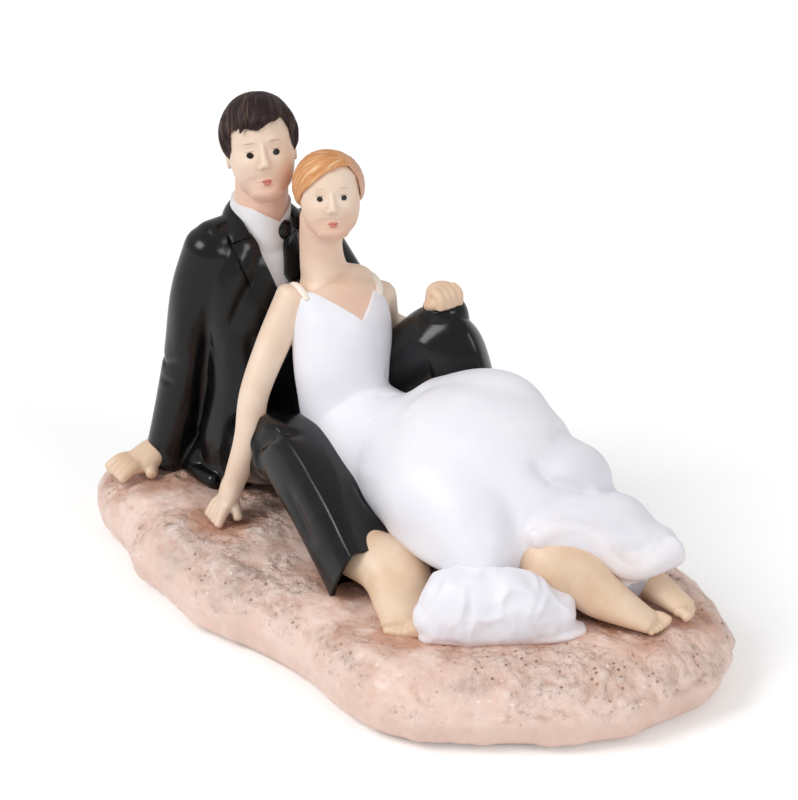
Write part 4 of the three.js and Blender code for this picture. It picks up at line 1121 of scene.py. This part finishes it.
def groom_trousers():
    for name, front, instep, way, creases in (
        ("right", unit(0, 0.82, 0.57), at(17.8, -21.8, 10.4), line(
            (-37, -9, 8.5, 7.6), (-26, -12.5, 13.5, 7.6), (-15.5, -14.6, 18.2, 6.9), (-0.5, -17, 13, 7.2),
            (14.5, -20.1, 5.4, 7), (20.6, -21.4, 2.4, 7.2),
        ), [
            (places((-20, -21, 16), (-13.7, -20.6, 22), (-8, -16, 25)), 1.2, -0.8),
            (places((-22, -20, 22), (-17, -20.5, 14), (-18, -18, 9)), 1.3, 0.7),
            (places((-4, -24, 15), (6.5, -26, 9)), 1.3, -0.7),
            (places((4, -12, 18), (10, -14, 12.5)), 1.0, -0.5),
        ]),
        ("left", ACROSS, at(14, 23, 8), line(
            (-35, 7, 9.5, 7.6), (-19, 12.5, 24, 6.6), (-4.6, 17.1, 36.4, 6.6), (3, 19.4, 21, 5.8),
            (9.5, 22.5, 5, 5.9), (11, 23.2, 1.4, 6),
        ), [
            (places((-14, 22, 33), (-6, 23.4, 36)), 1.0, -0.6),
        ]),
    ):
        bm = bmesh.new()
        limb(bm, way, side=front, sides=120, rings=150, dome=0.2, fold=creased)
        if name == "left":
            fuse(bm, 0.35, 5)
        folds(bm, creases)
        end, before = way[-1][0], way[-2][0]
        cut_off(bm, (end + before) / 2, unit(end - before))
        lift = unit(before - end) * 2.6
        sculpt(bm, lambda points, normals: np.outer(bump_at(points, instep, (5, 5, 5)), lift))
        piece(bm, f"groom_{name}_trouser_leg_creased", BLACK, [f"groom_{name}_trouser_leg"],
              [("SOLIDIFY", {"thickness": TROUSER_CLOTH * MM, "offset": -1})])


# Bride

BRIDE_CHEST = at(-18.6, 0.9, 38)
NECKLINE = [(2, 1), (6.8, 7.6), (14, 4.2), (14, 16), (-14, 16), (-14, 4.2), (-6.8, 7.6)]
STRAP_AT, STRAP_WIDTH, STRAP_DEPTH, STRAP_LIFT = 6.9, 0.8, 0.45, 0.3
STRAP_START, STRAP_TURN, STRAP_STEPS = 53, 83, 12
SHOULDER_LINE = unit(0.25, 0.94, -0.23)


def bride_skin():
    bm = bmesh.new()
    chest_and_neck = line(
        (-17.8, 0.6, 34, 9.8, 7), (-21, 2.2, 42, 10.8, 6.4), (-23.6, 2.6, 44.8, 10, 4.2, SHOULDER_LINE),
        (-25.2, 2, 48.6, 4.8, 4.7), (-25.6, 1.6, 54, 4.3), (-24.9, 1.6, 60, 4.6),
    )
    limb(bm, chest_and_neck, side=BRIDE_LEFT)
    right_arm = line(
        (-24.4, -6, 45, 3.8), (-24.4, -11.6, 36, 3.4), (-23.2, -17.2, 27, 3.0), (-22.6, -19.3, 18, 2.9),
        (-24.3, -21.3, 9.5, 2.4),
    )
    limb(bm, right_arm)
    knuckles = places((-23.6, -23.8, 3.8), (-28.4, -22, 3.8))
    tips = places((-22.8, -27, 1), (-28, -25.8, 1))
    hand(bm, right_arm[-1][0], knuckles, tips, at(-22, -22.6, 1.6), 3.2, 1.0, unit(-0.93, 0.36, 0))
    left_arm = line(
        (-20.2, 11.5, 41.9, 4), (-21.6, 14.6, 34.9, 3.4), (-22.3, 22, 29.8, 3.0),
        (-16.6, 24.4, 28.5, 2.8), (-10.8, 24.6, 30, 2.3),
    )
    limb(bm, left_arm, side=UP)
    knuckles = places((-6.4, 23.8, 33.2), (-6.2, 24.8, 28.6))
    tips = places((-2.8, 22.6, 33.2), (-2.4, 23.4, 29))
    hand(bm, left_arm[-1][0], knuckles, tips, at(-7.4, 22, 35), 2.9, 0.75, UP)
    fuse(bm, 0.25, 8)
    folds(bm, [
        (places((-21.5, -4.5, 46.5), (-21.2, 0.5, 47.2)), 0.8, 0.35),
        (places((-20, 8.5, 45), (-20.8, 4.4, 46.8)), 0.8, 0.35),
    ])
    # Pink painted shade on the neck under the chin and at the throat.
    points = points_of(bm.verts)
    throat = bump_at(points, BRIDE_CHEST + BRIDE_UP * 4 + BRIDE_FRONT * 7, (7, 7, 6))
    mark(bm, "blush_and_shade", 0.4 * ramp(points[:, 2] - SAND_TOP, 46, 58) + 0.5 * throat)
    nodes = ["bride_shoulders", "bride_right_arm", "bride_left_arm"]
    piece(bm, "bride_arms_and_shoulders", SKIN, nodes)
    surface = BVHTree.FromBMesh(bm)
    for sign, name, spread in ((-1, "right", 1.2), (1, "left", 2.6)):
        strap = bmesh.new()
        stations = [(spot, STRAP_WIDTH, STRAP_DEPTH) for spot in strap_spots(surface, sign, spread)]
        limb(strap, stations, side=BRIDE_LEFT, sides=20, rings=90)
        piece(strap, f"bride_{name}_strap_laid", CREAM, [f"bride_{name}_strap"])


def strap_spots(surface, sign, spread):
    """A smooth line over one shoulder, from the neckline to the back, drawn outwards by a spread."""
    spots = []
    for k in range(STRAP_STEPS + 1):
        turn = math.radians(STRAP_START + STRAP_TURN * k / STRAP_STEPS)
        aside = STRAP_AT + spread * max(0, math.sin(2 * turn - math.radians(88)))
        middle = BRIDE_CHEST + BRIDE_LEFT * sign * aside + BRIDE_UP * 1.5
        out = BRIDE_FRONT * math.cos(turn) + BRIDE_UP * math.sin(turn)
        spot, normal = touch(surface, middle, out)
        if spot is not None and (spot - Vector(middle)).dot(Vector(out)) > 0:
            spots.append(np.array(spot) + np.array(normal) * STRAP_LIFT)
    spots = np.array(spots)
    for _ in range(4):
        spots[1:-1] = (spots[:-2] + 2 * spots[1:-1] + spots[2:]) / 4
    return spots


HEM = line(
    (43, 0.5, 16.3, 2.4), (45, 4.5, 17.8, 2.5), (48, 9.4, 16.6, 2.5), (51.2, 11.4, 13.4, 2.4),
    (53.2, 13.2, 10.8, 2.3), (54.4, 15.8, 9.6, 2.4), (55.2, 20, 10.2, 2.8), (55.2, 24.6, 11, 3.2),
)


# Forms under the skirt's cloth: thighs, two tiers of cloth, a roll at the hem and the near edge
RIGHT_THIGH = line((8, -1, 17.6, 11.8), (22, -3, 18, 13), (32, -6, 15.8, 9.6), (38, -8, 13.2, 6.4))
LEFT_THIGH = line((6, 9, 21, 12), (17, 12.5, 26, 11.2), (23.6, 14.8, 20.8, 7.6), (31, 17, 14, 6))
UPPER_TIER = line((29, 5.6, 18.5, 5), (33, 11.4, 21.8, 6.4), (33.4, 18.4, 20.6, 6.3), (29, 26, 13, 5))
LOWER_TIER = line((40, 3, 15.4, 5), (43, 10, 15.2, 6.2), (44.4, 18.6, 13.9, 6.4), (40.5, 26.5, 9, 5))
HEM_ROLL = line(
    (42, 3, 16, 4.2), (46, 9, 15.4, 4.4), (49.6, 14, 12.6, 4.6), (51.6, 20, 11, 4.8), (51, 26, 10, 4),
)
NEAR_EDGE = line((17, -9.4, 13, 4.8), (25, -11.2, 12.6, 4), (33, -11.2, 12.4, 3.6), (41, -8.6, 13, 3.4))
SKIRT_FORMS = (RIGHT_THIGH, LEFT_THIGH, UPPER_TIER, LOWER_TIER, HEM_ROLL, NEAR_EDGE)
# Room cut out of the skirt: for the right leg, for the left foot and between the two
LEG_ROOM = line(
    (38, 3, 11.5, 4.6), (44.6, 3.4, 10.2, 5.6), (47.6, 6.4, 9.2, 5.5), (52.4, 8.8, 5.6, 4.3),
    (58, 11.8, 3.1, 3.4), (61.4, 13.8, 1.7, 3),
)
FOOT_ROOM = line((42, 18.4, 5, 4), (49, 20.6, 3, 4.8), (60, 22.8, 1, 5))
BETWEEN_FEET = line((40, 12.6, 1, 4.4), (47, 14, 1.2, 5.4), (60, 17.6, 1.2, 5.8))


def bride_dress():
    bm = bmesh.new()
    bodice = line(
        (-12.6, -1.6, 20, 9.6, 7.4), (-14.4, -1.4, 25, 9.4, 7.2), (-16.2, -0.5, 31, 10, 7.6),
        (-18.6, 1.3, 38, 10.5, 8.2), (-21.6, 2.2, 44, 10.2, 6.4),
    )
    limb(bm, bodice, side=BRIDE_LEFT, dome=0.4)
    skirt = bmesh.new()
    whole = line(
        (-13.6, -1.2, 22, 9.8, 8), (-5, 0.5, 17, 13, 12), (7, 4, 16, 15.6, 16), (20, 5.5, 18, 19.5, 18.5),
        (31, 8, 13.4, 17.6, 13.6), (41, 15.5, 9, 13, 8.6), (49.6, 21, 7.4, 9.8, 5.4),
    )
    limb(skirt, whole, side=SKIRT_TILT, sides=64)
    for form in SKIRT_FORMS:
        limb(skirt, form)
    fuse(skirt, 0.9, 22)
    sculpt(skirt, lambda points, normals: 0.3 * normals)
    join(bm, skirt)
    limb(bm, HEM)
    fuse(bm, 0.42, 9)
    folds(bm, [
        (places(
            (36.2, 6.2, 26.8), (38.7, 8.1, 24.4), (40.3, 13.4, 21.5), (42.5, 17, 20.2),
            (40.4, 21.3, 19.1),
        ), 1.3, -1.1),
        (places((40.6, 1.6, 20.4), (41.4, 5.4, 20.6), (42.6, 9, 20.8)), 1.2, -0.8),
        (places((32.5, 13.3, 30), (30.4, 16.9, 29.4), (28, 22, 26)), 1.4, -0.9),
        (places((53, 12.6, 13.6), (54.5, 17.3, 13.4), (54.1, 21, 13.3)), 1.8, -1.2),
        (places((-9.9, 5.8, 30.4), (-8.6, 8.4, 28.4)), 0.8, -0.6),
        (places((-5, 0, 28.1), (-4.4, 3.3, 27.8)), 0.7, -0.5),
        (places((-0.6, -6.6, 25.6), (0.6, -4.4, 27)), 0.7, -0.5),
        (places((4, -11, 19), (14, -13, 22)), 1.6, 0.4),
        (places((10, 24, 22), (30, 28, 14), (46, 32, 8)), 2.2, -1.0),
        (places((6, 22, 12), (24, 27, 7), (40, 31, 3)), 2.2, 0.9),
    ])
    carve(bm, prism(NECKLINE, BRIDE_CHEST, *BRIDE_AXES, -30, 30))
    for room in (LEG_ROOM, FOOT_ROOM, BETWEEN_FEET):
        scoop(bm, room)
    points = points_of(bm.verts)
    # Pinkish painted shade along the hem.
    mark(bm, "hem", np.clip(sum(bump_at(points, place, (3, 3, 2.6)) for place, _ in HEM), 0, 1))
    piece(bm, "bride_dress", WHITE, ["bride_bodice", "bride_skirt"])


UNDERSKIRT_SIDE = unit(0.8, -0.6, 0)
UNDERSKIRT_PITS = places((52.6, -2, 1.6), (49.5, 3.4, 6.5), (47, -1, 11.5))


def bride_underskirt():
    bm = bmesh.new()
    bundle = line(
        (36.8, -20, 2, 4.3, 4.5), (39.2, -14.8, 4.2, 7, 8.8), (44.7, -7.8, 4.5, 6.8, 8.5),
        (50, 0.4, 2, 4.8, 5.5),
    )
    limb(bm, bundle, side=UNDERSKIRT_SIDE)
    border = line(
        (37, -21.8, 0.6, 2.6, 1.5), (43, -13, 0.4, 4, 1.4), (51.6, -0.6, 0.4, 3.6, 1.3),
        (53.6, 3.6, 0.4, 2.2, 1),
    )
    limb(bm, border, side=UNDERSKIRT_SIDE)
    fuse(bm, 0.35, 6)

    def crumple(points, normals):
        drifted = warped(points, 6, (2.3, 6.7, 8.2))
        ridges = 1 - 2.4 * np.abs(grain(drifted, (4.5, 4.5, 9), 1.4))
        small = grain(drifted, 2.2, 7.7)
        pits = sum(bump_at(points, spot, (1, 1, 0.9)) for spot in UNDERSKIRT_PITS)
        # Painted shade in the pits, and pinkish painted shade along the bottom next to the sand.
        mark(bm, "pit", pits)
        mark(bm, "hem", 0.7 * ramp(SAND_TOP + 2.5 - points[:, 2], 0, 2))
        lift = (0.5 * ridges + 0.2 * small - 1.3 * pits) * ramp(points[:, 2], 14, 17)
        return normals * lift[:, None]

    sculpt(bm, crumple)
    piece(bm, "bride_underskirt_crumpled", WHITE, ["bride_underskirt"])


# Stage

FLOOR_HALF = 6.0
FLOOR_GLOW = 0.2
WORLD_LIGHT, WORLD_SEEN = 0.54, 1.0
WHITE_LIGHT = (1, 1, 1, 1)
LIGHT_AIM = Vector((0, 0, 0.04))
SOFTBOXES = [("softbox_left", (-0.6, -2.2, 2.25), 1.5, 50.0), ("softbox_right", (2.7, 0.3, 1.8), 1.2, 22.0)]


def white_paper():
    """White backdrop paper: matt, and lifted to white for the camera, so that only shadows show."""
    paper = bpy.data.materials.new("white_paper")
    paper.use_nodes = True
    tree = paper.node_tree
    shade = tree.nodes["Principled BSDF"]
    shade.inputs["Base Color"].default_value = linear("#f6f6f6")
    shade.inputs["Roughness"].default_value = 0.9
    seen = add_node(tree, "LightPath", output="Is Camera Ray")
    glow = add_node(tree, "Math", {0: seen, 1: FLOOR_GLOW}, operation="MULTIPLY")
    shade.inputs["Emission Color"].default_value = WHITE_LIGHT
    tree.links.new(glow, shade.inputs["Emission Strength"])
    return paper


def stage():
    bm = bmesh.new()
    bmesh.ops.create_grid(bm, x_segments=1, y_segments=1, size=FLOOR_HALF)
    floor = new_object("floor", mesh_of(bm, "floor"))
    bm.free()
    floor.data.materials.append(white_paper())

    world = bpy.data.worlds.new("studio")
    bpy.context.scene.world = world
    world.use_nodes = True
    tree = world.node_tree
    seen = add_node(tree, "LightPath", output="Is Camera Ray")
    strength = add_node(tree, "MapRange", {0: seen, 3: WORLD_LIGHT, 4: WORLD_SEEN})
    tree.links.new(strength, tree.nodes["Background"].inputs["Strength"])
    tree.nodes["Background"].inputs["Color"].default_value = WHITE_LIGHT

    for name, place, size, power in SOFTBOXES:
        lamp = bpy.data.lights.new(name, "AREA")
        lamp.size = size
        lamp.energy = power
        holder = new_object(name, lamp)
        holder.location = place
        holder.rotation_euler = (LIGHT_AIM - Vector(place)).to_track_quat("-Z", "Y").to_euler()

    lens = bpy.data.cameras.new("photo_view")
    lens.lens = VIEW_LENS
    lens.clip_start = 0.01
    camera = new_object("photo_view", lens)
    camera.location = (VIEW_TARGET + VIEW_BACK * VIEW_DISTANCE) * MM
    camera.rotation_euler = Vector(-VIEW_BACK).to_track_quat("-Z", "Y").to_euler()
    bpy.context.scene.camera = camera
    bpy.context.scene.view_settings.view_transform = "Standard"


stage()
sand_base()
groom_coat()
groom_shirt_and_tie()
groom_trousers()
groom_hands()
groom_feet()
groom_head()
bride_skin()
bride_dress()
bride_underskirt()
bride_legs()
bride_head()
